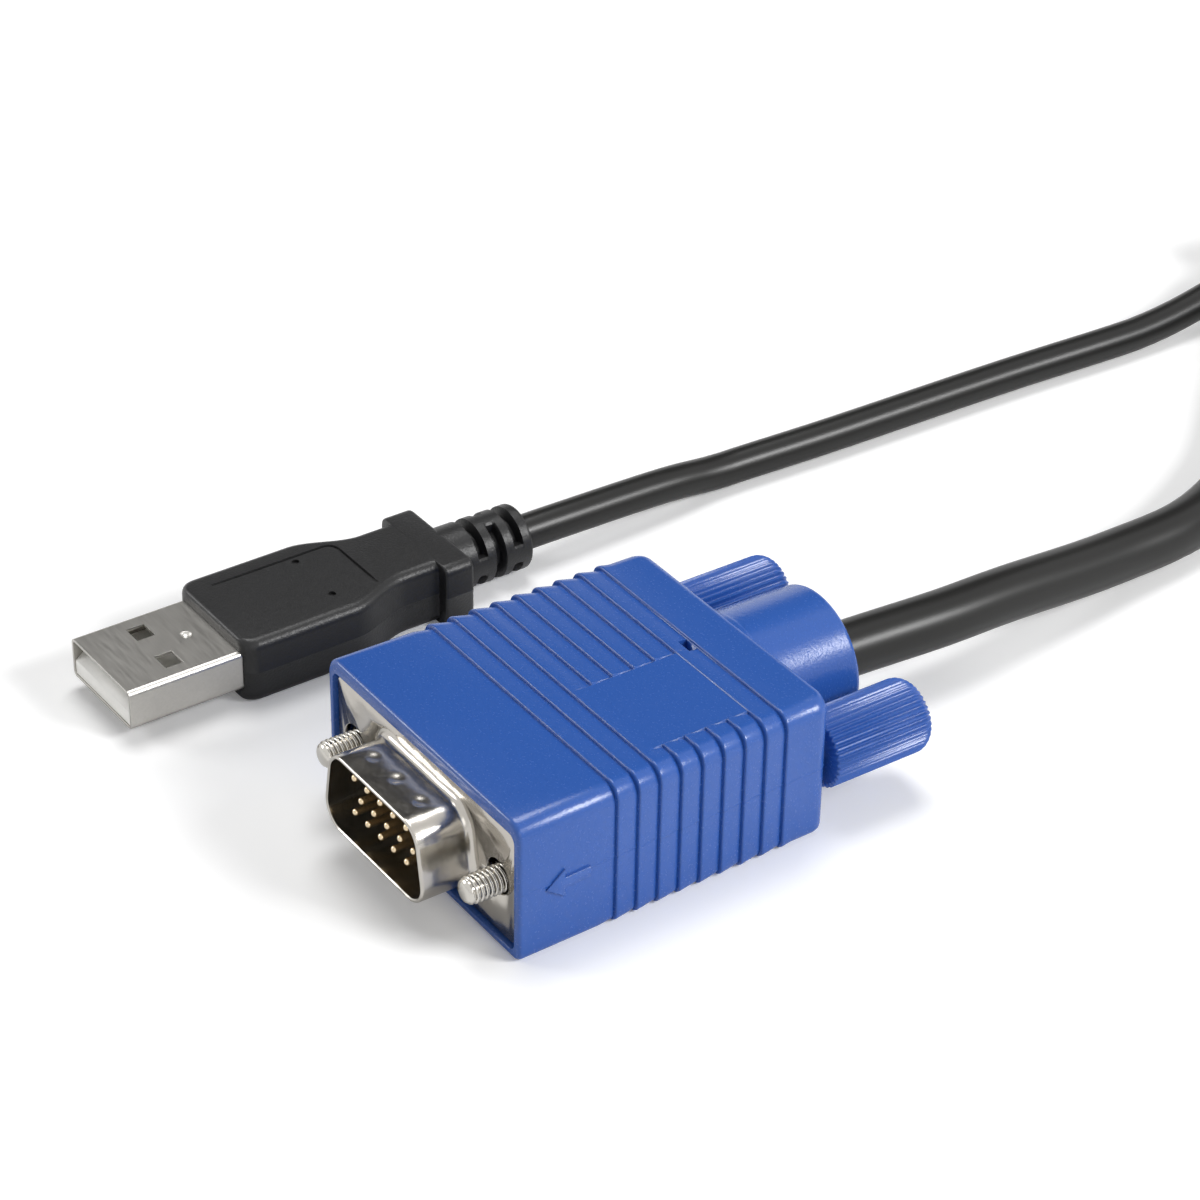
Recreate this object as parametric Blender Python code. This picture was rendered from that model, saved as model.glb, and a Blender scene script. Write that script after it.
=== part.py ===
# Console cable: a screw-locked 15-way video plug and a USB-A plug on two leads,
# joined by a yoke to one trunk cord that is coiled and ends in a second video plug.
# Metres, +Z up. The plugs mate towards -Y, their cords leave towards +Y,
# and everything lies on the plane z = 0.
import math

import bmesh
import bpy
from mathutils import Vector

# Gaps between pieces
seat_gap = 0.0003
cord_gap = 0.0005
pin_gap = 0.0001
turning_gap = 0.00008

# Hood of the video plug
hood_side_wall = 0.001195
hood_draft = 0.0007
hood_height = 0.0154
hood_length = 0.0358
hood_edge_radius = 0.0018
hood_base_radius = 0.001
hood_rim_round = 0.0005
hood_rear_round = 0.0009
recess_depth = 0.0055
recess_corner = 0.0009

# Grip steps round the hood, like overlapping shingles that face the front
step_count = 9
step_pitch = 0.00243
last_step_y = 0.0302
step_crest = 0.00015
step_foot = 0.00017
step_lean = 0.00004
step_lead_in = 0.0018
step_fade = 0.0013
panel_left = 0.0015
panel_margin = 0.0036
panel_first_step = 4
panel_end_step = 8
panel_bevel = 0.00005
slot_width = 0.0019
slot_length = 0.0008
slot_depth = 0.001
slot_ahead = 0.0006

# Round cord boss behind the hood, almost as tall as the hood
boss_inset = 0.0002
boss_taper = 0.0002
boss_radius = hood_height / 2 - boss_inset
boss_length = 0.0104
boss_height = hood_height / 2
boss_rim_round = 0.0006
vga_cord_drop = 0.0007

# Stamped shells and contacts of the video plug. The flange sets the hood's width round it
contact_height = 0.0074
flange_width = 0.03081
flange_height = 0.0124
flange_thickness = 0.0006
flange_corner = 0.0008
flange_inset = 0.0004
flange_side_margin = 0.00291
hood_width = flange_width + 2 * hood_side_wall
panel_right = hood_width / 2 - panel_margin
screw_spread = flange_width - 2 * flange_side_margin
ferrule_length = 0.0057
ferrule_top = 0.0152
ferrule_bottom = 0.0182
ferrule_height = 0.0089
ferrule_corner = 0.0026
ferrule_wall = 0.0004
ferrule_root = 0.0008
ferrule_lip = 0.00015
dimple_radius = 0.0009
dimple_depth = 0.0002
dimple_pitch = 0.0041
dimple_back = 0.0027
pan_length = 0.0022
insulator_length = 0.0046
pin_radius = 0.00038
pin_tip_radius = 0.00019
pin_reach = 0.0047
pin_pitch = 0.00229
pin_row_pitch = 0.00198
pin_rows = 3
pins_per_row = 5

# Thumbscrews, which hang a little low in the holes of the flange
screw_drop = 0.0003
screw_height = contact_height - screw_drop
screw_radius = 0.00142
screw_reach = 0.0038
screw_tip = 0.0006
screw_grip = 0.0078
flange_hole_radius = screw_radius + screw_drop + turning_gap
knob_radius = 0.00385
knob_length = 0.01195
left_knob_back = 0.002
knob_clear = 0.0008
knob_round = 0.0013
knob_ridges = 28
ridge_depth = 0.00028

# USB plug, in its own frame: origin under the front edge of the shell
usb_x = -0.03925
usb_y = -0.0129
usb_turn_deg = 0.7
usb_shell_width = 0.012
usb_shell_height = 0.0045
usb_shell_base = 0.0014
usb_shell_wall = 0.0003
usb_shell_corner = 0.0005
usb_shell_seated = 0.004
usb_window_x = 0.0029
usb_window_width = 0.0024
usb_window_length = 0.002
usb_window_y = 0.00515
tongue_setback = 0.0005
tongue_thickness = 0.0019
tongue_reach = 0.0092
contact_width = 0.001
contact_thickness = 0.0003
contact_start = 0.0012
contact_inner_x = 0.001
contact_outer_x = 0.0035
body_front = 0.0126
body_half_width = 0.0072
body_waist_half = 0.0049
body_ear_half = 0.00635
body_thickness = 0.0073
body_edge_radius = 0.0011
body_shoulder_y = 0.0255
body_waist_y = 0.033
body_ear_y = 0.0368
body_end_y = 0.0403
body_edge_round = 0.0003
body_front_corner = 0.0022
relief_end_y = 0.0496
relief_root_radius = 0.00365
relief_tip_radius = 0.0036
relief_core_radius = 0.0024
relief_first_slot_y = 0.0428
relief_slot = 0.001
relief_pitch = 0.00225
relief_slots = 3
relief_bridge_deg = 40.0
relief_sink = 0.00195

# Cords, yoke, coil and the far plug
usb_cord = 0.0039
vga_cord = 0.0059
trunk_cord = 0.006
yoke_x = -0.034
yoke_y = 0.148
yoke_length = 0.022
yoke_front_width = 0.025
yoke_rear_width = 0.013
yoke_height = 0.009
yoke_corner = 0.003
yoke_usb_port = -0.0072
yoke_vga_port = 0.0062
yoke_taper = ((0.0, 0.9), (0.04, 1.0), (0.55, 1.0), (0.75, 0.86), (0.9, 0.66), (1.0, 0.0))
coil_x = 0.002
coil_y = 0.204
coil_radius = 0.033
coil_half_width = 1.5 * trunk_cord
coil_half_height = (1 + math.sqrt(3)) / 2 * trunk_cord
tie_thickness = 0.001
tie_width = 0.007
tie_gap = 0.0005
tie_angles_deg = (140.0, 258.0)
far_plug_x = 0.024
far_boss_y = 0.005

# How finely round shapes are divided, and where the middle point of a two-facet rounding lies
round_middle = 0.3
corner_parts = 4
knob_end_parts = 3
waist_parts = 8
slot_parts = 8
front_corner_parts = 3
boss_sides = 32
screw_sides = 20
pin_sides = 10
relief_sides = 22
coil_sides = 36
bundle_sides = 12

# Points along a cord: tries between two route points, spacing in diameters, and the extra points by its ends
route_parts = 20
cord_spacing = 2.0
end_part = 0.05


def clear_scene():
    for old in list(bpy.data.objects):
        bpy.data.objects.remove(old, do_unlink=True)


def make_material(name, color, roughness, metallic=0.0):
    material = bpy.data.materials.new(name)
    material.use_nodes = True
    shader = material.node_tree.nodes["Principled BSDF"]
    shader.inputs["Base Color"].default_value = (*color, 1.0)
    shader.inputs["Roughness"].default_value = roughness
    shader.inputs["Metallic"].default_value = metallic
    material.diffuse_color = (*color, 1.0)
    return material


def make_empty(name, parent=None, location=(0, 0, 0), turn=0.0):
    empty = bpy.data.objects.new(name, None)
    bpy.context.collection.objects.link(empty)
    empty.parent = parent
    empty.location = location
    empty.rotation_euler = (0, 0, turn)
    return empty


def make_object(name, bm, material, parent, location=(0, 0, 0), smooth_deg=30.0):
    bmesh.ops.recalc_face_normals(bm, faces=bm.faces)
    mesh = bpy.data.meshes.new(name)
    bm.to_mesh(mesh)
    bm.free()
    mesh.shade_smooth()
    mesh.set_sharp_from_angle(angle=math.radians(smooth_deg))
    if material:
        mesh.materials.append(material)
    made = bpy.data.objects.new(name, mesh)
    bpy.context.collection.objects.link(made)
    made.parent = parent
    made.location = location
    return made


def combine(target, other, operation):
    """Cuts a helper out of the target, or joins it on, as a modifier; the helper isn't a piece."""
    other.hide_render = True
    other.display_type = "WIRE"
    modifier = target.modifiers.new(other.name, "BOOLEAN")
    modifier.operation = operation
    modifier.solver = "EXACT"
    modifier.object = other


def add_loft(bm, rings, closed=False):
    """Skins rings of equal length, with end caps unless the last ring meets the first."""
    loops = [[bm.verts.new(point) for point in ring] for ring in rings]
    pairs = list(zip(loops, loops[1:]))
    if closed:
        pairs.append((loops[-1], loops[0]))
    for lower, upper in pairs:
        for i in range(len(lower)):
            k = (i + 1) % len(lower)
            bm.faces.new((lower[i], lower[k], upper[k], upper[i]))
    if not closed:
        bm.faces.new(loops[0])
        bm.faces.new(list(reversed(loops[-1])))


def arc(center_x, center_z, radius, start_deg, end_deg, parts=corner_parts):
    angles = [math.radians(start_deg + (end_deg - start_deg) * i / parts) for i in range(parts + 1)]
    return [(center_x + radius * math.cos(a), center_z + radius * math.sin(a)) for a in angles]


def rounded_rectangle(half, low, high, low_radius, high_radius, top_points=()):
    """Outline in x and z, with any extra points for the top edge, listed right to left."""
    return (
        arc(-half + low_radius, low + low_radius, low_radius, 180, 270)
        + arc(half - low_radius, low + low_radius, low_radius, 270, 360)
        + arc(half - high_radius, high - high_radius, high_radius, 0, 90)
        + list(top_points)
        + arc(-half + high_radius, high - high_radius, high_radius, 90, 180)
    )


def at_depth(outline, y):
    return [(x, y, z) for x, z in outline]


def add_turned(bm, profile, sides, center_x=0.0, center_z=0.0):
    """Turns a list of (radius, y) pairs, which starts and ends on the axis, about a line along Y."""
    rings = []
    for radius, y in profile[1:-1]:
        ring = []
        for i in range(sides):
            a = 2 * math.pi * (i + 0.5) / sides
            ring.append((center_x + radius * math.cos(a), y, center_z + radius * math.sin(a)))
        rings.append(ring)
    add_loft(bm, rings)


def add_box(bm, low, high):
    x0, y0, z0 = low
    x1, y1, z1 = high
    ring = [(x0, z0), (x1, z0), (x1, z1), (x0, z1)]
    add_loft(bm, [at_depth(ring, y0), at_depth(ring, y1)])


def make_turned(name, profile, sides, material, parent, center_x=0.0, center_z=0.0, location=(0, 0, 0)):
    bm = bmesh.new()
    add_turned(bm, profile, sides, center_x, center_z)
    return make_object(name, bm, material, parent, location)


def ferrule_outline(offset=0.0):
    """The D-shaped outline about the contact centre: a trapezium with round corners, wide side down."""
    lean = (ferrule_top - ferrule_bottom) / 2
    side = math.hypot(lean, ferrule_height)
    lean_deg = math.degrees(math.atan2(lean, ferrule_height))
    r = ferrule_corner
    high_x = ferrule_bottom / 2 + ((ferrule_height - r) * lean - r * side) / ferrule_height
    low_x = ferrule_bottom / 2 + (r * lean - r * side) / ferrule_height
    high_z = contact_height + ferrule_height / 2 - r
    low_z = contact_height - ferrule_height / 2 + r
    grown = r + offset
    return (
        arc(-low_x, low_z, grown, 180 + lean_deg, 270)
        + arc(low_x, low_z, grown, 270, 360 - lean_deg)
        + arc(high_x, high_z, grown, -lean_deg, 90)
        + arc(-high_x, high_z, grown, 90, 180 + lean_deg)
    )


def step_places():
    return [last_step_y - (step_count - i) * step_pitch for i in range(1, step_count + 1)]


def hood_ring(y, step=0.0, panel_step=None, inset=0.0):
    """One cross-section of the hood; the bare panel on top keeps its own level."""
    half = hood_width / 2 - hood_draft * y / hood_length + step - inset
    top = hood_height + step - inset
    panel_top = hood_height - inset + (step if panel_step is None else panel_step)
    low_radius = hood_base_radius - min(inset, hood_base_radius / 2)
    high_radius = hood_edge_radius - min(inset, hood_edge_radius / 2)
    top_points = [
        (panel_right + panel_bevel, top),
        (panel_right, panel_top),
        (panel_left, panel_top),
        (panel_left - panel_bevel, top),
    ]
    return at_depth(rounded_rectangle(half, inset, top, low_radius, high_radius, top_points), y)


def recess_ring(y):
    half = flange_width / 2 + seat_gap
    low = contact_height - flange_height / 2 - seat_gap
    high = contact_height + flange_height / 2 + seat_gap
    edges = (panel_right + panel_bevel, panel_right, panel_left, panel_left - panel_bevel)
    top_points = [(x, high) for x in edges]
    return at_depth(rounded_rectangle(half, low, high, recess_corner, recess_corner, top_points), y)


def hood_rings():
    places = step_places()
    rings = [recess_ring(recess_depth), recess_ring(0.0)]
    rings.append(hood_ring(0.0, inset=hood_rim_round))
    rings.append(hood_ring(hood_rim_round * round_middle, inset=hood_rim_round * round_middle))
    rings.append(hood_ring(hood_rim_round))
    rings.append(hood_ring(places[0] - step_lead_in))
    for number, y in enumerate(places, start=1):
        foot_panel = crest_panel = None
        if panel_first_step <= number < panel_end_step:
            foot_panel = crest_panel = 0.0
        if number == panel_end_step:
            foot_panel = 0.0
        rings.append(hood_ring(y, -step_foot, foot_panel))
        rings.append(hood_ring(y + step_lean, step_crest, crest_panel))
        if number in (panel_first_step - 1, step_count):
            rings.append(hood_ring(y + step_fade))
    rings.append(hood_ring(hood_length - hood_rear_round))
    rings.append(hood_ring(hood_length, inset=hood_rear_round))
    return rings


def screw_sides_x():
    return (("left", -screw_spread / 2), ("right", screw_spread / 2))


def make_hood(name, material, parent):
    bm = bmesh.new()
    add_loft(bm, hood_rings())
    hood = make_object(name, bm, material, parent)

    boss_end = hood_length + boss_length
    boss_end_radius = boss_radius - boss_taper
    profile = [
        (0, hood_length / 2),
        (boss_radius, hood_length / 2),
        (boss_radius, hood_length),
        (boss_end_radius, boss_end - boss_rim_round),
        (boss_end_radius - boss_rim_round * round_middle, boss_end - boss_rim_round * round_middle),
        (boss_end_radius - boss_rim_round, boss_end),
        (0, boss_end),
    ]
    boss = make_turned(name + "_boss_form", profile, boss_sides, None, parent, 0.0, boss_height)
    combine(hood, boss, "UNION")

    bm = bmesh.new()
    bore = (screw_radius + turning_gap) / math.cos(math.pi / screw_sides)
    bore_start = recess_depth / 2
    bore_end = hood_length + bore
    for _, x in screw_sides_x():
        profile = [(0, bore_start), (bore, bore_start), (bore, bore_end), (0, bore_end)]
        add_turned(bm, profile, screw_sides, x, screw_height)
    slot_y = last_step_y - slot_ahead
    add_box(
        bm,
        (0.0, slot_y - slot_length / 2, hood_height - slot_depth),
        (slot_width, slot_y + slot_length / 2, hood_height + slot_depth),
    )
    combine(hood, make_object(name + "_bores", bm, None, parent), "DIFFERENCE")
    return hood


def make_front_shell(name, material, parent):
    """The stamped front shell: a flange with two screw holes and the drawn D-shaped ferrule."""
    front = flange_inset
    low = contact_height - flange_height / 2
    high = contact_height + flange_height / 2
    outline = rounded_rectangle(flange_width / 2, low, high, flange_corner, flange_corner)
    bm = bmesh.new()
    add_loft(bm, [at_depth(outline, front), at_depth(outline, front + flange_thickness)])
    shell = make_object(name, bm, material, parent)

    rim = front - ferrule_length
    bm = bmesh.new()
    add_loft(bm, [
        at_depth(ferrule_outline(-ferrule_lip), rim),
        at_depth(ferrule_outline(), rim + ferrule_lip),
        at_depth(ferrule_outline(), front - ferrule_root),
        at_depth(ferrule_outline(ferrule_root * round_middle), front - ferrule_root * round_middle),
        at_depth(ferrule_outline(ferrule_root), front + flange_thickness / 2),
    ])
    combine(shell, make_object(name + "_ferrule_form", bm, None, parent), "UNION")

    bm = bmesh.new()
    inner = ferrule_outline(-ferrule_wall)
    add_loft(bm, [at_depth(inner, rim - ferrule_wall), at_depth(inner, front + flange_thickness * 2)])
    for _, x in screw_sides_x():
        profile = [
            (0, front - ferrule_root),
            (flange_hole_radius, front - ferrule_root),
            (flange_hole_radius, front + flange_thickness * 2),
            (0, front + flange_thickness * 2),
        ]
        add_turned(bm, profile, screw_sides, x, contact_height)
    for place in (-1, 0, 1):
        center = (
            place * dimple_pitch,
            rim + dimple_back,
            contact_height + ferrule_height / 2 + dimple_radius - dimple_depth,
        )
        made = bmesh.ops.create_uvsphere(bm, u_segments=10, v_segments=6, radius=dimple_radius)
        bmesh.ops.translate(bm, verts=made["verts"], vec=center)
    combine(shell, make_object(name + "_openings", bm, None, parent), "DIFFERENCE")
    return shell


def make_rear_shell(name, material, parent):
    """The second shell, behind the flange, with a shallow pan round the back of the insulator."""
    front = flange_inset + flange_thickness + seat_gap
    low = contact_height - flange_height / 2
    high = contact_height + flange_height / 2
    outline = rounded_rectangle(flange_width / 2, low, high, flange_corner, flange_corner)
    bm = bmesh.new()
    add_loft(bm, [at_depth(outline, front), at_depth(outline, front + flange_thickness)])
    shell = make_object(name, bm, material, parent)

    bm = bmesh.new()
    pan = ferrule_outline()
    pan_end = front + flange_thickness + pan_length
    add_loft(bm, [at_depth(pan, front + flange_thickness / 2), at_depth(pan, pan_end)])
    combine(shell, make_object(name + "_pan_form", bm, None, parent), "UNION")

    bm = bmesh.new()
    inner = ferrule_outline(-ferrule_wall)
    add_loft(bm, [at_depth(inner, front - flange_thickness), at_depth(inner, front + pan_length * 2)])
    for _, x in screw_sides_x():
        profile = [
            (0, front - flange_thickness),
            (flange_hole_radius, front - flange_thickness),
            (flange_hole_radius, front + flange_thickness * 2),
            (0, front + flange_thickness * 2),
        ]
        add_turned(bm, profile, screw_sides, x, contact_height)
    combine(shell, make_object(name + "_openings", bm, None, parent), "DIFFERENCE")
    return shell


def pin_places():
    """Fifteen pins in three rows; the middle row is shifted by half a pitch."""
    places = []
    for row in range(pin_rows):
        shift = pin_pitch / 4 if row % 2 else -pin_pitch / 4
        z = contact_height + (1 - row) * pin_row_pitch
        for i in range(pins_per_row):
            x = (i - (pins_per_row - 1) / 2) * pin_pitch + shift
            places.append((x, z))
    return places


def pin_profile():
    tip = flange_inset - pin_reach
    end = flange_inset + insulator_length
    return [
        (0, tip),
        (pin_tip_radius, tip),
        (pin_radius, tip + pin_radius),
        (pin_radius, end),
        (0, end),
    ]


def make_insulator(name, material, parent, with_pins):
    outline = ferrule_outline(-ferrule_wall - seat_gap)
    end = flange_inset + insulator_length
    bm = bmesh.new()
    add_loft(bm, [at_depth(outline, flange_inset), at_depth(outline, end)])
    insulator = make_object(name, bm, material, parent)
    bm = bmesh.new()
    if with_pins:
        for x, z in pin_places():
            add_turned(bm, pin_profile()[:3] + [(pin_radius, end / 2), (0, end / 2)], pin_sides, x, z)
        combine(insulator, make_object(name + "_pins_form", bm, None, parent), "UNION")
        return insulator
    hole = (pin_radius + pin_gap) / math.cos(math.pi / pin_sides)
    for x, z in pin_places():
        start = flange_inset - pin_radius
        add_turned(bm, [(0, start), (hole, start), (hole, end + hole), (0, end + hole)], pin_sides, x, z)
    combine(insulator, make_object(name + "_holes", bm, None, parent), "DIFFERENCE")
    return insulator


def make_pins(material, parent):
    for number, (x, z) in enumerate(pin_places(), start=1):
        make_turned(f"vga_pin_{number:02d}", pin_profile(), pin_sides, material, parent, x, z)


def screw_profile():
    tip = flange_inset - screw_reach
    end = hood_length + knob_clear + screw_grip
    return [
        (0, tip),
        (screw_radius - screw_tip, tip),
        (screw_radius - screw_tip * round_middle, tip + screw_tip / 2),
        (screw_radius, tip + screw_tip * 1.5),
        (screw_radius, end),
        (0, end),
    ]


def knob_ring(y, radius):
    """A ring of ridges: every other point lies in a groove."""
    ring = []
    for i in range(2 * knob_ridges):
        a = math.pi * i / knob_ridges
        r = radius - (ridge_depth if i % 2 else 0.0)
        ring.append((r * math.cos(a), y, r * math.sin(a)))
    return ring


def knob_rings(back=0.0):
    front = hood_length + knob_clear + back
    rear = front + knob_length
    rings = [knob_ring(front, knob_radius - seat_gap), knob_ring(front + seat_gap, knob_radius)]
    for part in range(knob_end_parts + 1):
        a = math.radians(90 * part / knob_end_parts)
        drop = knob_round * (1 - math.cos(a))
        rings.append(knob_ring(rear - knob_round * (1 - math.sin(a)), knob_radius - drop))
    return rings


def make_thumbscrew(side, x, back, knob_material, screw_material, parent):
    """A steel screw through the hood with its ridged plastic knob moulded on the end."""
    pivot = make_empty(f"{side}_screw_axis", parent, (x, 0, screw_height))
    make_turned(f"{side}_screw", screw_profile(), screw_sides, screw_material, pivot)
    bm = bmesh.new()
    add_loft(bm, knob_rings(back))
    knob = make_object(f"{side}_knob", bm, knob_material, pivot)
    socket = screw_radius + seat_gap
    front = hood_length + knob_clear
    end = front + screw_grip + seat_gap
    profile = [(0, front - seat_gap), (socket, front - seat_gap), (socket, end), (0, end)]
    combine(knob, make_turned(f"{side}_socket", profile, screw_sides, None, pivot), "DIFFERENCE")


def make_far_thumbscrew(side, x, material, parent):
    """The far plug's thumbscrew as one solid: knob and screw together."""
    pivot = make_empty(f"far_{side}_screw_axis", parent, (x, 0, screw_height))
    bm = bmesh.new()
    add_loft(bm, knob_rings())
    knob = make_object(f"far_{side}_thumbscrew", bm, material, pivot)
    shank = make_turned(f"far_{side}_shank_form", screw_profile(), screw_sides, None, pivot)
    combine(knob, shank, "UNION")


def make_vga_plug(parent, mats):
    make_hood("vga_hood", mats["blue"], parent)
    make_front_shell("vga_front_shell", mats["nickel"], parent)
    make_rear_shell("vga_rear_shell", mats["nickel"], parent)
    make_insulator("vga_insulator", mats["black"], parent, with_pins=False)
    make_pins(mats["gold"], parent)
    for side, x in screw_sides_x():
        back = left_knob_back if side == "left" else 0.0
        make_thumbscrew(side, x, back, mats["blue"], mats["steel"], parent)


def make_far_plug(parent, mats):
    make_hood("far_hood", mats["blue"], parent)
    make_front_shell("far_front_shell", mats["nickel"], parent)
    make_insulator("far_insulator", mats["black"], parent, with_pins=True)
    for side, x in screw_sides_x():
        make_far_thumbscrew(side, x, mats["blue"], parent)


def usb_shell_ring(y, inset):
    half = usb_shell_width / 2 - inset
    low = usb_shell_base + inset
    high = usb_shell_base + usb_shell_height - inset
    radius = usb_shell_corner - inset
    return at_depth(rounded_rectangle(half, low, high, radius, radius), y)


def make_usb_shell(material, parent):
    """A folded sheet tube with two latch windows through its top and bottom."""
    end = body_front + usb_shell_seated
    bm = bmesh.new()
    rings = [
        usb_shell_ring(0.0, 0.0),
        usb_shell_ring(end, 0.0),
        usb_shell_ring(end, usb_shell_wall),
        usb_shell_ring(0.0, usb_shell_wall),
    ]
    add_loft(bm, rings, closed=True)
    shell = make_object("usb_shell", bm, material, parent)
    bm = bmesh.new()
    for x in (-usb_window_x, usb_window_x):
        add_box(
            bm,
            (x - usb_window_width / 2, usb_window_y, usb_shell_base - usb_shell_wall),
            (x + usb_window_width / 2, usb_window_y + usb_window_length,
             usb_shell_base + usb_shell_height + usb_shell_wall),
        )
    combine(shell, make_object("usb_windows", bm, None, parent), "DIFFERENCE")


def make_usb_tongue(material, parent):
    """The moulded tongue: a thin shelf in front and a block that fills the shell behind it."""
    half = usb_shell_width / 2 - usb_shell_wall - seat_gap
    low = usb_shell_base + usb_shell_wall + seat_gap
    shelf = low + tongue_thickness
    high = usb_shell_base + usb_shell_height - usb_shell_wall - seat_gap
    end = body_front + usb_shell_seated
    outline = [
        (tongue_setback, low), (end, low), (end, high),
        (tongue_reach, high), (tongue_reach, shelf), (tongue_setback, shelf),
    ]
    bm = bmesh.new()
    add_loft(bm, [[(x, y, z) for y, z in outline] for x in (-half, half)])
    tongue = make_object("usb_tongue", bm, material, parent)
    bm = bmesh.new()
    for x in contact_places():
        add_box(
            bm,
            (x - contact_width / 2 - pin_gap, contact_start - pin_gap, shelf - contact_thickness - pin_gap),
            (x + contact_width / 2 + pin_gap, end + seat_gap, shelf + pin_gap),
        )
    combine(tongue, make_object("usb_contact_grooves", bm, None, parent), "DIFFERENCE")


def contact_places():
    return (-contact_outer_x, -contact_inner_x, contact_inner_x, contact_outer_x)


def make_usb_contacts(material, parent):
    shelf = usb_shell_base + usb_shell_wall + seat_gap + tongue_thickness
    end = body_front + usb_shell_seated
    for number, x in enumerate(contact_places(), start=1):
        bm = bmesh.new()
        add_box(
            bm,
            (x - contact_width / 2, contact_start, shelf - contact_thickness),
            (x + contact_width / 2, end, shelf),
        )
        make_object(f"usb_contact_{number}", bm, material, parent)


def body_half(y):
    """Half-width of the moulding along its length: straight, then an S-curve to the waist."""
    t = min(max((y - body_shoulder_y) / (body_waist_y - body_shoulder_y), 0.0), 1.0)
    return body_half_width + (body_waist_half - body_half_width) * t * t * (3 - 2 * t)


def body_ring(y, half, inset=0.0):
    radius = body_edge_radius - inset
    outline = rounded_rectangle(half - inset, inset, body_thickness - inset, radius, radius)
    return at_depth(outline, y)


def make_usb_body(material, parent):
    """The black moulding: grip, waist, two ears and the slotted strain relief."""
    rings = [body_ring(body_front, body_half_width - body_front_corner, body_edge_round)]
    for part in range(1, front_corner_parts + 1):
        a = math.radians(90 * part / front_corner_parts)
        half = body_half_width - body_front_corner * (1 - math.sin(a))
        rings.append(body_ring(body_front + body_front_corner * (1 - math.cos(a)), half))
    for i in range(waist_parts + 1):
        y = body_shoulder_y + (body_waist_y - body_shoulder_y) * i / waist_parts
        rings.append(body_ring(y, body_half(y)))
    rings.append(body_ring(body_ear_y, body_waist_half))
    rings.append(body_ring(body_ear_y, body_ear_half, body_edge_round))
    rings.append(body_ring(body_ear_y + body_edge_round, body_ear_half))
    rings.append(body_ring(body_end_y - body_edge_round, body_ear_half))
    rings.append(body_ring(body_end_y, body_ear_half, body_edge_round))
    bm = bmesh.new()
    add_loft(bm, rings)
    body = make_object("usb_overmould", bm, material, parent)

    start = body_end_y - relief_sink
    profile = [
        (0, start),
        (relief_root_radius, start),
        (relief_root_radius, body_end_y),
        (relief_tip_radius, relief_end_y - seat_gap),
        (relief_tip_radius - seat_gap / 2, relief_end_y),
        (0, relief_end_y),
    ]
    relief = make_turned("usb_relief_form", profile, relief_sides, None, parent, 0.0, body_thickness / 2)
    combine(body, relief, "UNION")

    pocket_end = body_front + usb_shell_seated + seat_gap
    pocket = rounded_rectangle(
        usb_shell_width / 2 + seat_gap,
        usb_shell_base - seat_gap,
        usb_shell_base + usb_shell_height + seat_gap,
        usb_shell_corner + seat_gap,
        usb_shell_corner + seat_gap,
    )
    bm = bmesh.new()
    add_loft(bm, [at_depth(pocket, body_front - usb_shell_seated), at_depth(pocket, pocket_end)])
    for slot in range(relief_slots):
        y = relief_first_slot_y + slot * relief_pitch
        middle = 90.0 if slot % 2 == 0 else 0.0
        for turn in (middle, middle + 180.0):
            add_relief_slot(bm, y, turn)
    combine(body, make_object("usb_pocket_and_slots", bm, None, parent), "DIFFERENCE")


def add_relief_slot(bm, y, middle_deg):
    """One curved cutter; two of them leave a bridge on each side of the sleeve."""
    reach = 90.0 - relief_bridge_deg / 2
    outer_radius = relief_root_radius + relief_slot
    outer = arc(0, body_thickness / 2, outer_radius, middle_deg - reach, middle_deg + reach, slot_parts)
    inner = arc(0, body_thickness / 2, relief_core_radius, middle_deg + reach, middle_deg - reach, slot_parts)
    outline = outer + inner
    add_loft(bm, [at_depth(outline, y), at_depth(outline, y + relief_slot)])


def make_usb_plug(parent, mats):
    make_usb_shell(mats["nickel"], parent)
    make_usb_tongue(mats["white"], parent)
    make_usb_contacts(mats["gold"], parent)
    make_usb_body(mats["black"], parent)


def spline_point(p0, p1, p2, p3, t):
    """A point of a smooth curve that passes through p1 and p2."""
    return 0.5 * (
        2 * p1
        + (p2 - p0) * t
        + (2 * p0 - 5 * p1 + 4 * p2 - p3) * t * t
        + (3 * p1 - p0 - 3 * p2 + p3) * t * t * t
    )


def smooth_route(route, spacing, lowest):
    """Evenly spaced points along a smooth curve through the route, none under the lowest height."""
    points = [Vector(p) for p in route]
    points = [2 * points[0] - points[1]] + points + [2 * points[-1] - points[-2]]
    fine = []
    for i in range(1, len(points) - 2):
        for k in range(route_parts):
            fine.append(spline_point(*points[i - 1:i + 3], k / route_parts))
    fine.append(points[-2])
    lengths = [0.0]
    for a, b in zip(fine, fine[1:]):
        lengths.append(lengths[-1] + (b - a).length)
    count = max(2, round(lengths[-1] / spacing))
    shares = [n / count for n in range(count + 1)]
    shares = shares[:1] + [end_part / count] + shares[1:-1] + [1 - end_part / count] + shares[-1:]
    made = []
    for want in (share * lengths[-1] for share in shares):
        k = max(i for i in range(len(fine) - 1) if lengths[i] <= want + 1e-9)
        part = (want - lengths[k]) / max(lengths[k + 1] - lengths[k], 1e-9)
        point = fine[k].lerp(fine[k + 1], part)
        point.z = max(point.z, lowest)
        made.append(point)
    return made


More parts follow.
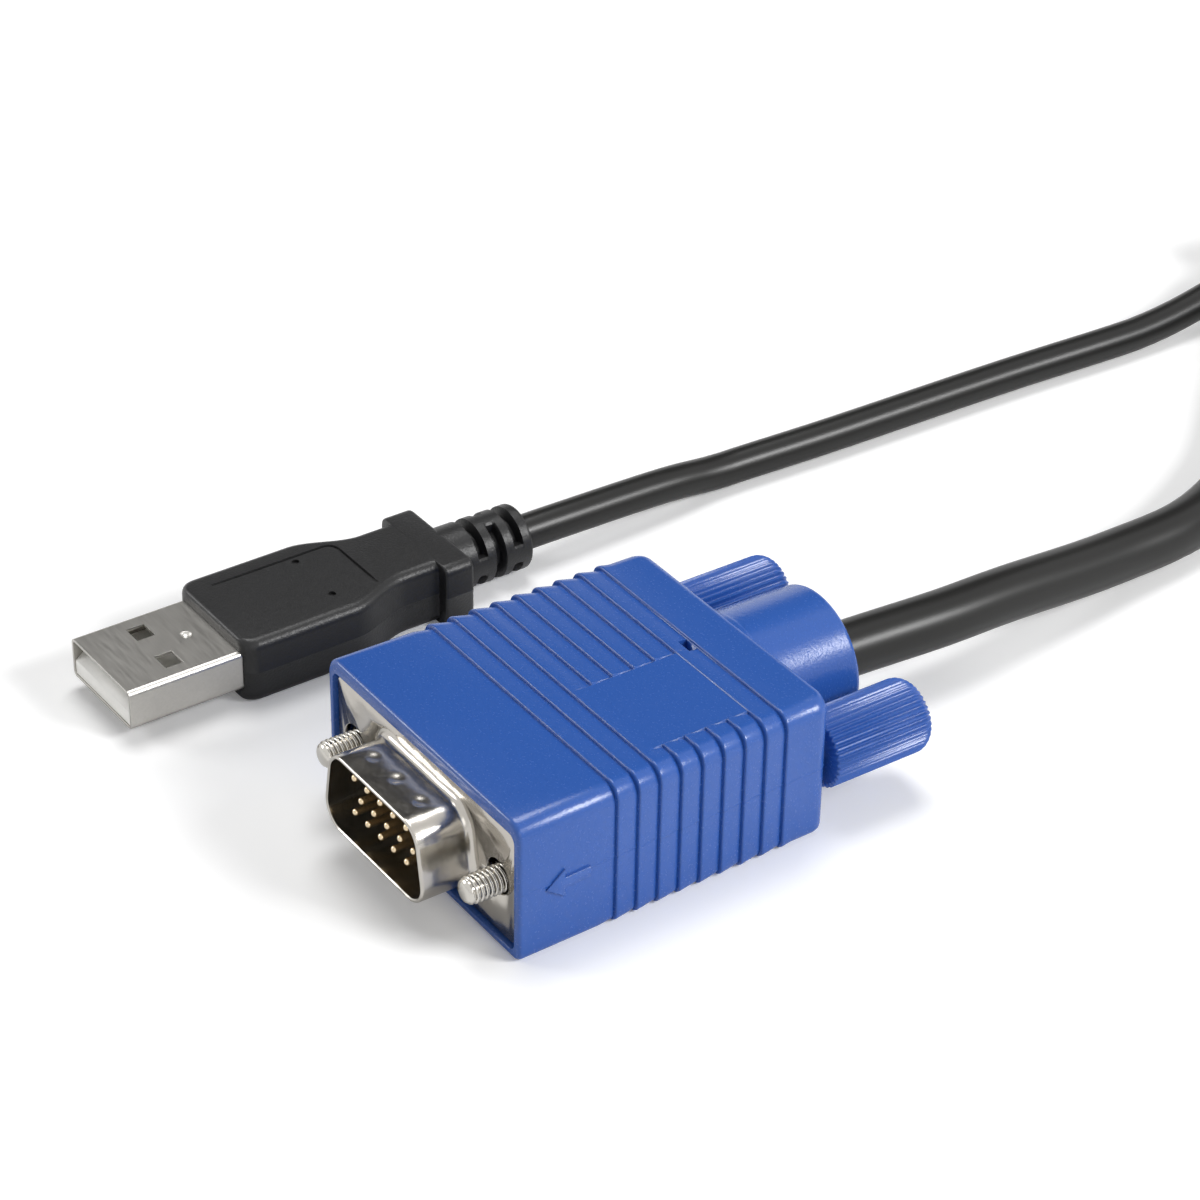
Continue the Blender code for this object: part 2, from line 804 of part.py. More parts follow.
def make_cord(name, route, diameter, material, parent):
    curve = bpy.data.curves.new(name, "CURVE")
    curve.dimensions = "3D"
    curve.bevel_depth = diameter / 2
    curve.bevel_resolution = 2
    curve.use_fill_caps = True
    spline = curve.splines.new("POLY")
    points = smooth_route(route, cord_spacing * diameter, diameter / 2)
    spline.points.add(len(points) - 1)
    for place, point in zip(spline.points, points):
        place.co = (*point, 1.0)
    curve.materials.append(material)
    made = bpy.data.objects.new(name, curve)
    bpy.context.collection.objects.link(made)
    made.parent = parent
    return made


def usb_to_cable(y, z):
    """A point on the USB plug's middle line, in the cable's frame."""
    turn = math.radians(usb_turn_deg)
    return (usb_x - y * math.sin(turn), usb_y + y * math.cos(turn), z)


def make_leads(parent, material):
    yoke_mid = yoke_height / 2
    usb_low = usb_cord / 2
    vga_low = vga_cord / 2
    yoke_mouth = yoke_y - cord_gap
    usb_route = [
        usb_to_cable(relief_end_y + cord_gap, body_thickness / 2),
        usb_to_cable(0.056, 0.00355),
        (-0.0405, 0.0565, 0.0029),
        (-0.0409, 0.0648, usb_low),
        (-0.0404, 0.0795, usb_low),
        (-0.0400, 0.1042, usb_low),
        (-0.0393, 0.1235, usb_low),
        (-0.0400, 0.1360, 0.0030),
        (yoke_x + yoke_usb_port, yoke_y - 0.004, yoke_mid),
        (yoke_x + yoke_usb_port, yoke_mouth, yoke_mid),
    ]
    make_cord("usb_lead", usb_route, usb_cord, material, parent)
    boss_end = hood_length + boss_length
    vga_route = [
        (0.0, boss_end + cord_gap, boss_height - vga_cord_drop),
        (0.0001, 0.0525, 0.0067),
        (0.0002, 0.0620, 0.0062),
        (-0.0004, 0.0710, 0.0055),
        (-0.0018, 0.0870, 0.0036),
        (-0.0036, 0.1011, vga_low),
        (-0.0105, 0.1160, vga_low),
        (-0.0205, 0.1290, 0.0036),
        (yoke_x + yoke_vga_port, yoke_y - 0.007, yoke_mid),
        (yoke_x + yoke_vga_port, yoke_mouth, yoke_mid),
    ]
    make_cord("vga_lead", vga_route, vga_cord, material, parent)


def make_yoke(material, parent):
    """The moulding that joins the two leads to the trunk cord."""
    rings = []
    for share, fullness in yoke_taper:
        half = (yoke_rear_width + (yoke_front_width - yoke_rear_width) * fullness) / 2
        outline = rounded_rectangle(half, 0.0, yoke_height, yoke_corner, yoke_corner)
        rings.append(at_depth(outline, share * yoke_length))
    bm = bmesh.new()
    add_loft(bm, rings)
    make_object("yoke", bm, material, parent, (yoke_x, yoke_y, 0))


def coil_middle():
    return tie_thickness + tie_gap + coil_half_height


def make_coil(material, parent):
    """The wound part of the trunk cord as one turned ring, seven turns in section."""
    loops = []
    for i in range(coil_sides):
        a = 2 * math.pi * i / coil_sides
        loop = []
        for k in range(bundle_sides):
            b = 2 * math.pi * (k + 0.5) / bundle_sides
            r = coil_radius + coil_half_width * math.cos(b)
            loop.append((r * math.cos(a), r * math.sin(a), coil_half_height * math.sin(b)))
        loops.append(loop)
    bm = bmesh.new()
    add_loft(bm, loops, closed=True)
    make_object("trunk_coil", bm, material, parent, (coil_x, coil_y, coil_middle()), 60.0)


def make_ties(material, parent):
    """Two straps that hold the turns of the coil together."""
    for number, angle_deg in enumerate(tie_angles_deg, start=1):
        rings = []
        for gap, side in ((0.0, -1), (0.0, 1), (tie_thickness, 1), (tie_thickness, -1)):
            ring = []
            for k in range(2 * bundle_sides):
                b = 2 * math.pi * (k + 0.5) / (2 * bundle_sides)
                x = coil_radius + (coil_half_width + tie_gap + gap) * math.cos(b)
                z = (coil_half_height + tie_gap + gap) * math.sin(b)
                ring.append((x, side * tie_width / 2, z))
            rings.append(ring)
        bm = bmesh.new()
        add_loft(bm, rings, closed=True)
        tie = make_object(f"coil_tie_{number}", bm, material, parent, (coil_x, coil_y, coil_middle()))
        tie.rotation_euler = (0, 0, math.radians(angle_deg))


def make_trunk(parent, material):
    """The two stretches of trunk cord that aren't coiled: yoke to coil, and coil to far plug."""
    low = trunk_cord / 2
    inlet_x = coil_radius + low
    flank = low * math.sqrt(0.5)
    inlet_height = yoke_height / 2
    near_x = inlet_x - flank
    near_z = inlet_height + flank - coil_middle()
    ring_edge = coil_radius + coil_half_width * math.sqrt(1 - (near_z / coil_half_height) ** 2)
    inlet_y = math.sqrt(ring_edge ** 2 - near_x ** 2) + cord_gap
    yoke_end = yoke_y + yoke_length + cord_gap
    inlet = [
        (yoke_x, yoke_end, inlet_height),
        (yoke_x, yoke_end + 0.002, inlet_height),
        (coil_x - inlet_x, coil_y - inlet_y, inlet_height),
    ]
    make_cord("trunk_lead", inlet, trunk_cord, material, parent)
    top = coil_middle() + coil_half_height + seat_gap
    boss_end_y = coil_y + far_boss_y + cord_gap
    tail_height = top + boss_height
    tail = [
        (coil_x - 0.0140, coil_y + 0.0305, top + low),
        (coil_x, coil_y + coil_radius, top + low + 0.0006),
        (coil_x + 0.0125, coil_y + 0.0295, top + low + 0.0020),
        (coil_x + 0.0212, coil_y + 0.0205, top + low + 0.0038),
        (coil_x + far_plug_x, coil_y + far_boss_y + 0.004, tail_height),
        (coil_x + far_plug_x, boss_end_y, tail_height),
    ]
    make_cord("trunk_tail", tail, trunk_cord, material, parent)


def own_middle():
    """The middle of the two console plugs' own box, where the part's origin is."""
    turn = math.radians(usb_turn_deg)
    left = usb_x - body_half_width * math.cos(turn) - body_shoulder_y * math.sin(turn)
    right = hood_width / 2
    front = usb_y - usb_shell_width / 2 * math.sin(turn)
    rear = hood_length + knob_clear + knob_length + left_knob_back
    return (left + right) / 2, (front + rear) / 2


def make_materials():
    return {
        "blue": make_material("blue_plastic", (0.030, 0.115, 0.44), 0.35),
        "black": make_material("black_plastic", (0.022, 0.022, 0.023), 0.45),
        "cord": make_material("cord_jacket", (0.045, 0.045, 0.047), 0.5),
        "white": make_material("white_plastic", (0.75, 0.74, 0.72), 0.4),
        "nickel": make_material("nickel_plate", (0.62, 0.58, 0.53), 0.3, 1.0),
        "steel": make_material("steel", (0.55, 0.53, 0.50), 0.3, 1.0),
        "gold": make_material("gold_plate", (0.80, 0.58, 0.28), 0.3, 1.0),
        "strap": make_material("strap", (0.03, 0.03, 0.03), 0.8),
    }


def build():
    clear_scene()
    mats = make_materials()
    middle_x, middle_y = own_middle()
    cable = make_empty("cable_frame", None, (-middle_x, -middle_y, 0))
    make_vga_plug(cable, mats)
    usb = make_empty("usb_frame", cable, (usb_x, usb_y, 0), math.radians(usb_turn_deg))
    make_usb_plug(usb, mats)
    make_leads(cable, mats["cord"])
    make_yoke(mats["black"], cable)
    make_coil(mats["cord"], cable)
    make_ties(mats["strap"], cable)
    make_trunk(cable, mats["cord"])
    far_front_y = coil_y + far_boss_y - hood_length - boss_length
    far_base = coil_middle() + coil_half_height + seat_gap
    far = make_empty("far_frame", cable, (coil_x + far_plug_x, far_front_y, far_base))
    make_far_plug(far, mats)


build()
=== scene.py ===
import math

import bmesh
import bpy
from mathutils import Matrix, Vector


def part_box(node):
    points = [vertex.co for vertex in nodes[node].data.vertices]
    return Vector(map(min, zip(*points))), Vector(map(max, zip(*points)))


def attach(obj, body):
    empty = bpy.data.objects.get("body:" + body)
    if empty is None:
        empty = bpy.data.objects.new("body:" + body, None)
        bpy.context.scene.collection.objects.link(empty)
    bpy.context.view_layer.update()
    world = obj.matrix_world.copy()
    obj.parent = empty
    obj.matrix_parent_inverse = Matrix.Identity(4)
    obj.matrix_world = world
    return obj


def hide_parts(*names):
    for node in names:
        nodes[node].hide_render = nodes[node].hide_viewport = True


print("scene: loading the frame")
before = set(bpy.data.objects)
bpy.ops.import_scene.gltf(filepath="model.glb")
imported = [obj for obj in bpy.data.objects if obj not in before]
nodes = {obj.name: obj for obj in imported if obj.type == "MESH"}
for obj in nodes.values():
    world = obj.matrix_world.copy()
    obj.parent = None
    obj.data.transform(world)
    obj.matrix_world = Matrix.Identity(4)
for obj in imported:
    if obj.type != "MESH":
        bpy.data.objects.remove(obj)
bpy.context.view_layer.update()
mm = 0.001

# Places of the two console plugs and the far plug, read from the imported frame
hoodLow, hoodHigh = (Vector(v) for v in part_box("vga_hood"))
plugOrigin = Vector(((hoodLow.x + hoodHigh.x) / 2, hoodLow.y, 0.0))
farLow, farHigh = (Vector(v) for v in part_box("far_hood"))
farOrigin = Vector(((farLow.x + farHigh.x) / 2, farLow.y, farLow.z))
coilLow, coilHigh = (Vector(v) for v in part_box("trunk_coil"))
coilCentre = (coilLow + coilHigh) / 2
yokeLow, yokeHigh = (Vector(v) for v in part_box("yoke"))
usbPlace = {
    "x": -39.25 * mm,  # front middle of the shell, from the hood's front middle
    "y": -12.9 * mm,
    "turnDeg": 0.7,
}
usbMatrix = (
    Matrix.Translation(plugOrigin + Vector((usbPlace["x"], usbPlace["y"], 0.0)))
    @ Matrix.Rotation(math.radians(usbPlace["turnDeg"]), 4, "Z")
)


# Mesh helpers
def addLoft(bm, rings, closed=False, caps=True):
    loops = [[bm.verts.new(point) for point in ring] for ring in rings]
    pairs = list(zip(loops, loops[1:]))
    if closed:
        pairs.append((loops[-1], loops[0]))
    for lower, upper in pairs:
        for i in range(len(lower)):
            k = (i + 1) % len(lower)
            bm.faces.new((lower[i], lower[k], upper[k], upper[i]))
    if caps and not closed:
        bm.faces.new(loops[0])
        bm.faces.new(list(reversed(loops[-1])))


def makeObject(name, bm, material, matrix=None, smoothDeg=35.0):
    bmesh.ops.recalc_face_normals(bm, faces=bm.faces)
    mesh = bpy.data.meshes.new(name)
    bm.to_mesh(mesh)
    bm.free()
    mesh.shade_smooth()
    mesh.set_sharp_from_angle(angle=math.radians(smoothDeg))
    mesh.materials.append(material)
    made = bpy.data.objects.new(name, mesh)
    bpy.context.collection.objects.link(made)
    if matrix:
        made.matrix_world = matrix
    return made


def loftObject(name, rings, look, matrix=None, closed=False, smoothDeg=35.0):
    bm = bmesh.new()
    addLoft(bm, rings, closed)
    return makeObject(name, bm, mats[look], matrix, smoothDeg)


def takeModifiers(target):
    bpy.context.view_layer.update()
    shown = target.evaluated_get(bpy.context.evaluated_depsgraph_get())
    mesh = bpy.data.meshes.new_from_object(shown)
    target.modifiers.clear()
    target.data = mesh
    return mesh


def bakeModifiers(target, smoothDeg=35.0):
    mesh = takeModifiers(target)
    mesh.shade_smooth()
    mesh.set_sharp_from_angle(angle=math.radians(smoothDeg))


def cutAway(target, bm):
    tool = makeObject(target.name + "Cutter", bm, target.data.materials[0], target.matrix_world.copy())
    modifier = target.modifiers.new("cut", "BOOLEAN")
    modifier.operation = "DIFFERENCE"
    modifier.solver = "EXACT"
    modifier.object = tool
    bakeModifiers(target)
    bpy.data.objects.remove(tool)


def softenEdges(target, width, segments=2, angleDeg=40.0):
    modifier = target.modifiers.new("soft edges", "BEVEL")
    modifier.width = width
    modifier.segments = segments
    modifier.limit_method = "ANGLE"
    modifier.angle_limit = math.radians(angleDeg)
    modifier.harden_normals = True
    bakeModifiers(target)


def flattenShading(target):  # big flat faces keep their own normals, so reflections stay straight
    modifier = target.modifiers.new("flat faces", "WEIGHTED_NORMAL")
    modifier.weight = 90
    modifier.keep_sharp = True
    takeModifiers(target)


def circleAt(radius, y, sides, centreX=0.0, centreZ=0.0):
    turns = [2 * math.pi * i / sides for i in range(sides)]
    return [(centreX + radius * math.cos(a), y, centreZ + radius * math.sin(a)) for a in turns]


def quarterTurn(parts):
    return [math.radians(90 * part / parts) for part in range(parts + 1)]


def arc(centreX, centreZ, radius, startDeg, endDeg, parts):
    angles = [math.radians(startDeg + (endDeg - startDeg) * i / parts) for i in range(parts + 1)]
    return [(centreX + radius * math.cos(a), centreZ + radius * math.sin(a)) for a in angles]


def roundedRect(half, low, high, lowRadius, highRadius, parts=8, topPoints=(), sidePoints=()):
    return (
        arc(-half + lowRadius, low + lowRadius, lowRadius, 180, 270, parts)
        + arc(half - lowRadius, low + lowRadius, lowRadius, 270, 360, parts)
        + [(half + out, z) for out, z in sidePoints]
        + arc(half - highRadius, high - highRadius, highRadius, 0, 90, parts)
        + list(topPoints)
        + arc(-half + highRadius, high - highRadius, highRadius, 90, 180, parts)
        + [(-half - out, z) for out, z in reversed(sidePoints)]
    )


def atDepth(outline, y):
    return [(x, y, z) for x, z in outline]


def addTurned(bm, profile, sides, centreX=0.0, centreZ=0.0):
    addLoft(bm, [circleAt(radius, y, sides, centreX, centreZ) for radius, y in profile])


def addBox(bm, low, high):
    outline = [(low[0], low[2]), (high[0], low[2]), (high[0], high[2]), (low[0], high[2])]
    addLoft(bm, [atDepth(outline, low[1]), atDepth(outline, high[1])])


def roundInset(radius, fromEnd):  # how far a rounding of this radius lies in, this far from the end
    if fromEnd >= radius:
        return 0.0
    return radius - math.sqrt(max(radius ** 2 - (radius - fromEnd) ** 2, 0.0))


def smoothStep(low, high, value):
    t = min(max((value - low) / (high - low), 0.0), 1.0)
    return t * t * (3 - 2 * t)


# Shared material effects, each a node group that gives a normal or a mask
def newGroup(name, inputs, outputs):
    group = bpy.data.node_groups.new(name, "ShaderNodeTree")
    for label, kind, value in inputs:
        socket = group.interface.new_socket(label, in_out="INPUT", socket_type=kind)
        socket.default_value = value
    for label, kind in outputs:
        group.interface.new_socket(label, in_out="OUTPUT", socket_type=kind)
    return group, group.nodes.new("NodeGroupInput"), group.nodes.new("NodeGroupOutput")


def addMath(tree, operation, second=None):
    node = tree.nodes.new("ShaderNodeMath")
    node.operation = operation
    if second is not None:
        node.inputs[1].default_value = second
    return node


def makeGrainGroup():
    group, given, result = newGroup(
        "MouldGrain",
        [
            ("Size", "NodeSocketFloat", 0.3),
            ("Depth", "NodeSocketFloat", 0.01),
            ("Strength", "NodeSocketFloat", 0.5),
        ],
        [("Normal", "NodeSocketVector"), ("Grain", "NodeSocketFloat")],
    )
    link = group.links.new
    where = group.nodes.new("ShaderNodeTexCoord")
    scale = addMath(group, "DIVIDE")
    scale.inputs[0].default_value = 1.0
    toMetres = addMath(group, "MULTIPLY", mm)
    noise = group.nodes.new("ShaderNodeTexNoise")
    noise.inputs["Detail"].default_value = 2.0
    noise.inputs["Roughness"].default_value = 0.55
    bump = group.nodes.new("ShaderNodeBump")
    depth = addMath(group, "MULTIPLY", mm)
    link(given.outputs["Size"], toMetres.inputs[0])
    link(toMetres.outputs[0], scale.inputs[1])
    link(scale.outputs[0], noise.inputs["Scale"])
    link(where.outputs["Object"], noise.inputs["Vector"])
    link(noise.outputs["Fac"], bump.inputs["Height"])
    link(given.outputs["Depth"], depth.inputs[0])
    link(depth.outputs[0], bump.inputs["Distance"])
    link(given.outputs["Strength"], bump.inputs["Strength"])
    link(bump.outputs["Normal"], result.inputs["Normal"])
    link(noise.outputs["Fac"], result.inputs["Grain"])
    return group


def makeBrushGroup():
    group, given, result = newGroup(
        "BrushMarks",
        [("Stretch", "NodeSocketVector", (1.0, 1.0, 1.0)), ("Depth", "NodeSocketFloat", 0.002)],
        [("Normal", "NodeSocketVector"), ("Marks", "NodeSocketFloat")],
    )
    link = group.links.new
    where = group.nodes.new("ShaderNodeTexCoord")
    stretch = group.nodes.new("ShaderNodeVectorMath")
    stretch.operation = "MULTIPLY"
    noise = group.nodes.new("ShaderNodeTexNoise")
    noise.inputs["Scale"].default_value = 1000.0
    noise.inputs["Detail"].default_value = 3.0
    bump = group.nodes.new("ShaderNodeBump")
    bump.inputs["Strength"].default_value = 0.6
    depth = addMath(group, "MULTIPLY", mm)
    link(where.outputs["Object"], stretch.inputs[0])
    link(given.outputs["Stretch"], stretch.inputs[1])
    link(stretch.outputs[0], noise.inputs["Vector"])
    link(noise.outputs["Fac"], bump.inputs["Height"])
    link(given.outputs["Depth"], depth.inputs[0])
    link(depth.outputs[0], bump.inputs["Distance"])
    link(bump.outputs["Normal"], result.inputs["Normal"])
    link(noise.outputs["Fac"], result.inputs["Marks"])
    return group


print("scene: materials")
grainGroup = makeGrainGroup()
brushGroup = makeBrushGroup()


def makeMaterial(name, look):
    material = bpy.data.materials.new(name)
    material.use_nodes = True
    tree = material.node_tree
    shader = tree.nodes["Principled BSDF"]
    shader.inputs["Base Color"].default_value = (*look["colour"], 1.0)
    shader.inputs["Roughness"].default_value = look["roughness"]
    shader.inputs["Metallic"].default_value = look.get("metallic", 0.0)
    shader.inputs["IOR"].default_value = look.get("ior", 1.5)
    shader.inputs["Coat Weight"].default_value = look.get("coat", 0.0)
    shader.inputs["Coat Roughness"].default_value = look.get("coatRoughness", 0.2)
    effect = tree.nodes.new("ShaderNodeGroup")
    if "brush" in look:
        effect.node_tree = brushGroup
        effect.inputs["Stretch"].default_value = look["brush"]
        effect.inputs["Depth"].default_value = look["brushDepth"]
        mask = effect.outputs["Marks"]
    else:
        effect.node_tree = grainGroup
        effect.inputs["Size"].default_value = look["grainSize"]
        effect.inputs["Depth"].default_value = look["grainDepth"]
        effect.inputs["Strength"].default_value = 1.0
        mask = effect.outputs["Grain"]
    normal = effect.outputs["Normal"]
    if "waveSize" in look:  # slow unevenness of pressed sheet, under the marks
        wave = tree.nodes.new("ShaderNodeTexNoise")
        wave.inputs["Scale"].default_value = 1.0 / (look["waveSize"] * mm)
        wave.inputs["Detail"].default_value = 1.0
        where = tree.nodes.new("ShaderNodeTexCoord")
        bump = tree.nodes.new("ShaderNodeBump")
        bump.inputs["Strength"].default_value = 1.0
        bump.inputs["Distance"].default_value = look["waveDepth"] * mm
        tree.links.new(where.outputs["Object"], wave.inputs["Vector"])
        tree.links.new(wave.outputs["Fac"], bump.inputs["Height"])
        tree.links.new(normal, bump.inputs["Normal"])
        normal = bump.outputs["Normal"]
    tree.links.new(normal, shader.inputs["Normal"])
    spread = look.get("roughnessSpread", 0.0)
    ramp = tree.nodes.new("ShaderNodeMapRange")
    ramp.inputs["To Min"].default_value = look["roughness"] - spread
    ramp.inputs["To Max"].default_value = look["roughness"] + spread
    tree.links.new(mask, ramp.inputs["Value"])
    tree.links.new(ramp.outputs["Result"], shader.inputs["Roughness"])
    shade = tree.nodes.new("ShaderNodeMix")
    shade.data_type = "RGBA"
    dark = look.get("colourSpread", 0.04)
    shade.inputs["A"].default_value = (*(c * (1 - dark) for c in look["colour"]), 1.0)
    shade.inputs["B"].default_value = (*(c * (1 + dark) for c in look["colour"]), 1.0)
    tree.links.new(mask, shade.inputs["Factor"])
    tree.links.new(shade.outputs["Result"], shader.inputs["Base Color"])
    return material


looks = {
    "blue": {
        "colour": (0.024, 0.094, 0.375),  # moulded plastic of the hood
        "roughness": 0.25,
        "roughnessSpread": 0.08,
        "grainSize": 0.26,  # millimetres between bumps
        "grainDepth": 0.018,  # millimetres
    },
    "black": {
        "colour": (0.011, 0.011, 0.0115),
        "ior": 1.42,
        "roughness": 0.38,
        "roughnessSpread": 0.08,
        "grainSize": 0.24,
        "grainDepth": 0.03,
    },
    "insulator": {
        "colour": (0.006, 0.006, 0.006),
        "roughness": 0.5,
        "grainSize": 0.2,
        "grainDepth": 0.004,
    },
    "cord": {
        "colour": (0.006, 0.0058, 0.0052),
        "roughness": 0.33,
        "ior": 1.42,
        "grainSize": 0.5,
        "grainDepth": 0.004,
    },
    "white": {
        "colour": (0.92, 0.91, 0.87),
        "roughness": 0.4,
        "grainSize": 0.4,
        "grainDepth": 0.003,
    },
    "nickel": {
        "colour": (0.50, 0.475, 0.435),
        "metallic": 1.0,
        "waveSize": 3.2,
        "waveDepth": 0.16,
        "roughness": 0.2,
        "roughnessSpread": 0.06,
        "brush": (2.2, 2.2, 0.25),  # marks run along the short axis of the stretch
        "brushDepth": 0.0022,
    },
    "usbNickel": {
        "colour": (0.52, 0.505, 0.475),
        "metallic": 1.0,
        "roughness": 0.34,
        "roughnessSpread": 0.05,
        "brush": (0.35, 3.2, 3.2),
        "brushDepth": 0.003,
        "colourSpread": 0.1,
    },
    "steel": {
        "colour": (0.56, 0.54, 0.50),
        "metallic": 1.0,
        "roughness": 0.16,
        "brush": (1.0, 1.0, 1.0),
        "brushDepth": 0.001,
    },
    "gold": {
        "colour": (0.74, 0.60, 0.40),
        "metallic": 1.0,
        "roughness": 0.22,
        "brush": (1.0, 1.0, 1.0),
        "brushDepth": 0.001,
    },
    "strap": {
        "colour": (0.02, 0.02, 0.021),
        "roughness": 0.8,
        "grainSize": 0.6,
        "grainDepth": 0.08,
    },
}
mats = {name: makeMaterial(name + "Look", look) for name, look in looks.items()}


# Video plug
hoodLook = {
    "width": 33.2 * mm,
    "draft": 0.7 * mm,  # how much narrower each side is at the rear
    "height": 15.4 * mm,
    "length": 35.8 * mm,
    "topRadius": 1.8 * mm,
    "baseRadius": 1.0 * mm,
    "rimRound": 0.5 * mm,
    "mouthRound": 0.12 * mm,
    "rearRound": 0.9 * mm,
    "rearCorner": 1.7 * mm,  # rounding of the upright corners behind
    "recessDepth": 5.5 * mm,
    "recessCorner": 0.9 * mm,
    "recessGap": 0.3 * mm,
}
stepLook = {
    "count": 9,
    "pitch": 2.43 * mm,
    "lastY": 30.2 * mm,
    "crest": 0.15 * mm,
    "foot": 0.2 * mm,
    "leadIn": 1.8 * mm,
    "fade": 1.3 * mm,
    "panelLeft": 1.5 * mm,
    "panelRight": 13.0 * mm,
    "panelFirst": 4,
    "panelEnd": 8,
    "panelBevel": 0.06 * mm,
    "hold": 0.07 * mm,  # keeps the shading flat beside an edge
    "seamHeight": 7.75 * mm,  # the mould's parting line along the sides
    "seamWidth": 0.11 * mm,
    "seamRise": 0.05 * mm,
}
slotLook = {"width": 1.9 * mm, "length": 1.0 * mm, "depth": 3.0 * mm, "ahead": 0.6 * mm}
bossLook = {
    "radius": 7.5 * mm,
    "endRadius": 7.3 * mm,
    "length": 10.4 * mm,
    "height": 7.7 * mm,
    "rimRound": 0.6 * mm,
    "cordDrop": 0.7 * mm,
    "mouth": 3.05 * mm,
    "sides": 128,
}
arrowLook = {
    "tip": (2.9 * mm, 7.35 * mm),  # y and z on the hood's side
    "headLength": 2.1 * mm,
    "headHalf": 1.58 * mm,
    "shaftLength": 2.85 * mm,
    "shaftHalf": 0.6 * mm,
    "rise": 0.25 * mm,
    "root": 0.4 * mm,  # how far it reaches into the hood
    "edgeRound": 0.09 * mm,
    "tiltDeg": 1.5,
}
flangeLook = {
    "width": 30.81 * mm,
    "height": 12.4 * mm,
    "thickness": 0.6 * mm,
    "corner": 0.8 * mm,
    "inset": 0.4 * mm,  # front plane, behind the hood's rim
    "centreZ": 7.4 * mm,
    "holeRadius": 1.8 * mm,
    "holeSides": 48,
    "edgeRound": 0.08 * mm,
}
ferruleLook = {
    "length": 5.7 * mm,
    "top": 15.2 * mm,
    "bottom": 18.2 * mm,
    "height": 8.9 * mm,
    "corner": 2.6 * mm,
    "wall": 0.4 * mm,
    "root": 0.8 * mm,
    "lip": 0.2 * mm,
    "sideRings": 34,
    "dimpleDepth": 0.11 * mm,
    "dimpleSize": 0.62 * mm,
    "dimplePitch": 4.1 * mm,
    "dimpleBack": 2.7 * mm,
}
insulatorLook = {"frontY": 0.45 * mm, "length": 4.6 * mm, "gap": 0.02 * mm, "edgeRound": 0.3 * mm}
pinLook = {
    "radius": 0.38 * mm,
    "tipFlat": 0.03 * mm,
    "reach": 4.7 * mm,
    "root": 4.4 * mm,
    "pitch": 2.29 * mm,
    "rowPitch": 1.98 * mm,
    "sides": 20,
}
screwLook = {
    "spread": 24.99 * mm,
    "height": 7.1 * mm,
    "radius": 1.42 * mm,
    "reach": 3.8 * mm,
    "pitch": 0.5 * mm,
    "threadDepth": 0.34 * mm,
    "tipLength": 1.15 * mm,
    "tipShare": 0.42,
    "threadEnd": 3.2 * mm,  # past the flange the shank is plain
    "runOut": 0.3 * mm,
    "ringsPerTurn": 10,
    "shankRadius": 1.3 * mm,
    "grip": 7.8 * mm,
    "sides": 40,
}
knobLook = {
    "radius": 3.85 * mm,
    "length": 11.95 * mm,
    "leftBack": 2.0 * mm,  # the left one sits further back on its screw
    "clear": 0.8 * mm,
    "round": 1.5 * mm,
    "roundDeg": 82.0,
    "endHub": 1.0 * mm,
    "ridges": 36,
    "ridgeDepth": 0.34 * mm,
    "pointsPerRidge": 8,
}


def panelPlaces():
    s = stepLook
    right, left = s["panelRight"], s["panelLeft"]
    bevel, hold = s["panelBevel"], s["hold"]
    return (
        right + bevel + hold, right + bevel, right, right - hold,
        left + hold, left, left - bevel, left - bevel - hold,
    )


def seamPoints(flat=False):
    s = stepLook
    rise, wide, z = (0.0 if flat else s["seamRise"]), s["seamWidth"], s["seamHeight"]
    return [
        (0.0, z - wide * 1.6), (0.0, z - wide), (rise, z - wide * 0.3),
        (rise, z + wide * 0.3), (0.0, z + wide), (0.0, z + wide * 1.6),
    ]


def hoodRing(y, level=0.0, panelLevel=None, inset=0.0, sideInset=None):
    h = hoodLook
    sideInset = inset if sideInset is None else sideInset
    half = h["width"] / 2 - h["draft"] * y / h["length"] + level - sideInset
    top = h["height"] + level - inset
    panelTop = h["height"] - inset + (level if panelLevel is None else panelLevel)
    lowRadius = max(h["baseRadius"] - inset, h["baseRadius"] * 0.4)
    highRadius = h["topRadius"] - inset * 0.6
    topPoints = list(zip(panelPlaces(), (top, top, panelTop, panelTop, panelTop, panelTop, top, top)))
    return atDepth(roundedRect(half, inset, top, lowRadius, highRadius, 8, topPoints, seamPoints()), y)


def recessRing(y, grow=0.0):
    h, f = hoodLook, flangeLook
    half = f["width"] / 2 + h["recessGap"] + grow
    low = f["centreZ"] - f["height"] / 2 - h["recessGap"] - grow
    high = f["centreZ"] + f["height"] / 2 + h["recessGap"] + grow
    radius = h["recessCorner"] + grow
    topPoints = [(x, high) for x in panelPlaces()]
    return atDepth(roundedRect(half, low, high, radius, radius, 8, topPoints, seamPoints(flat=True)), y)


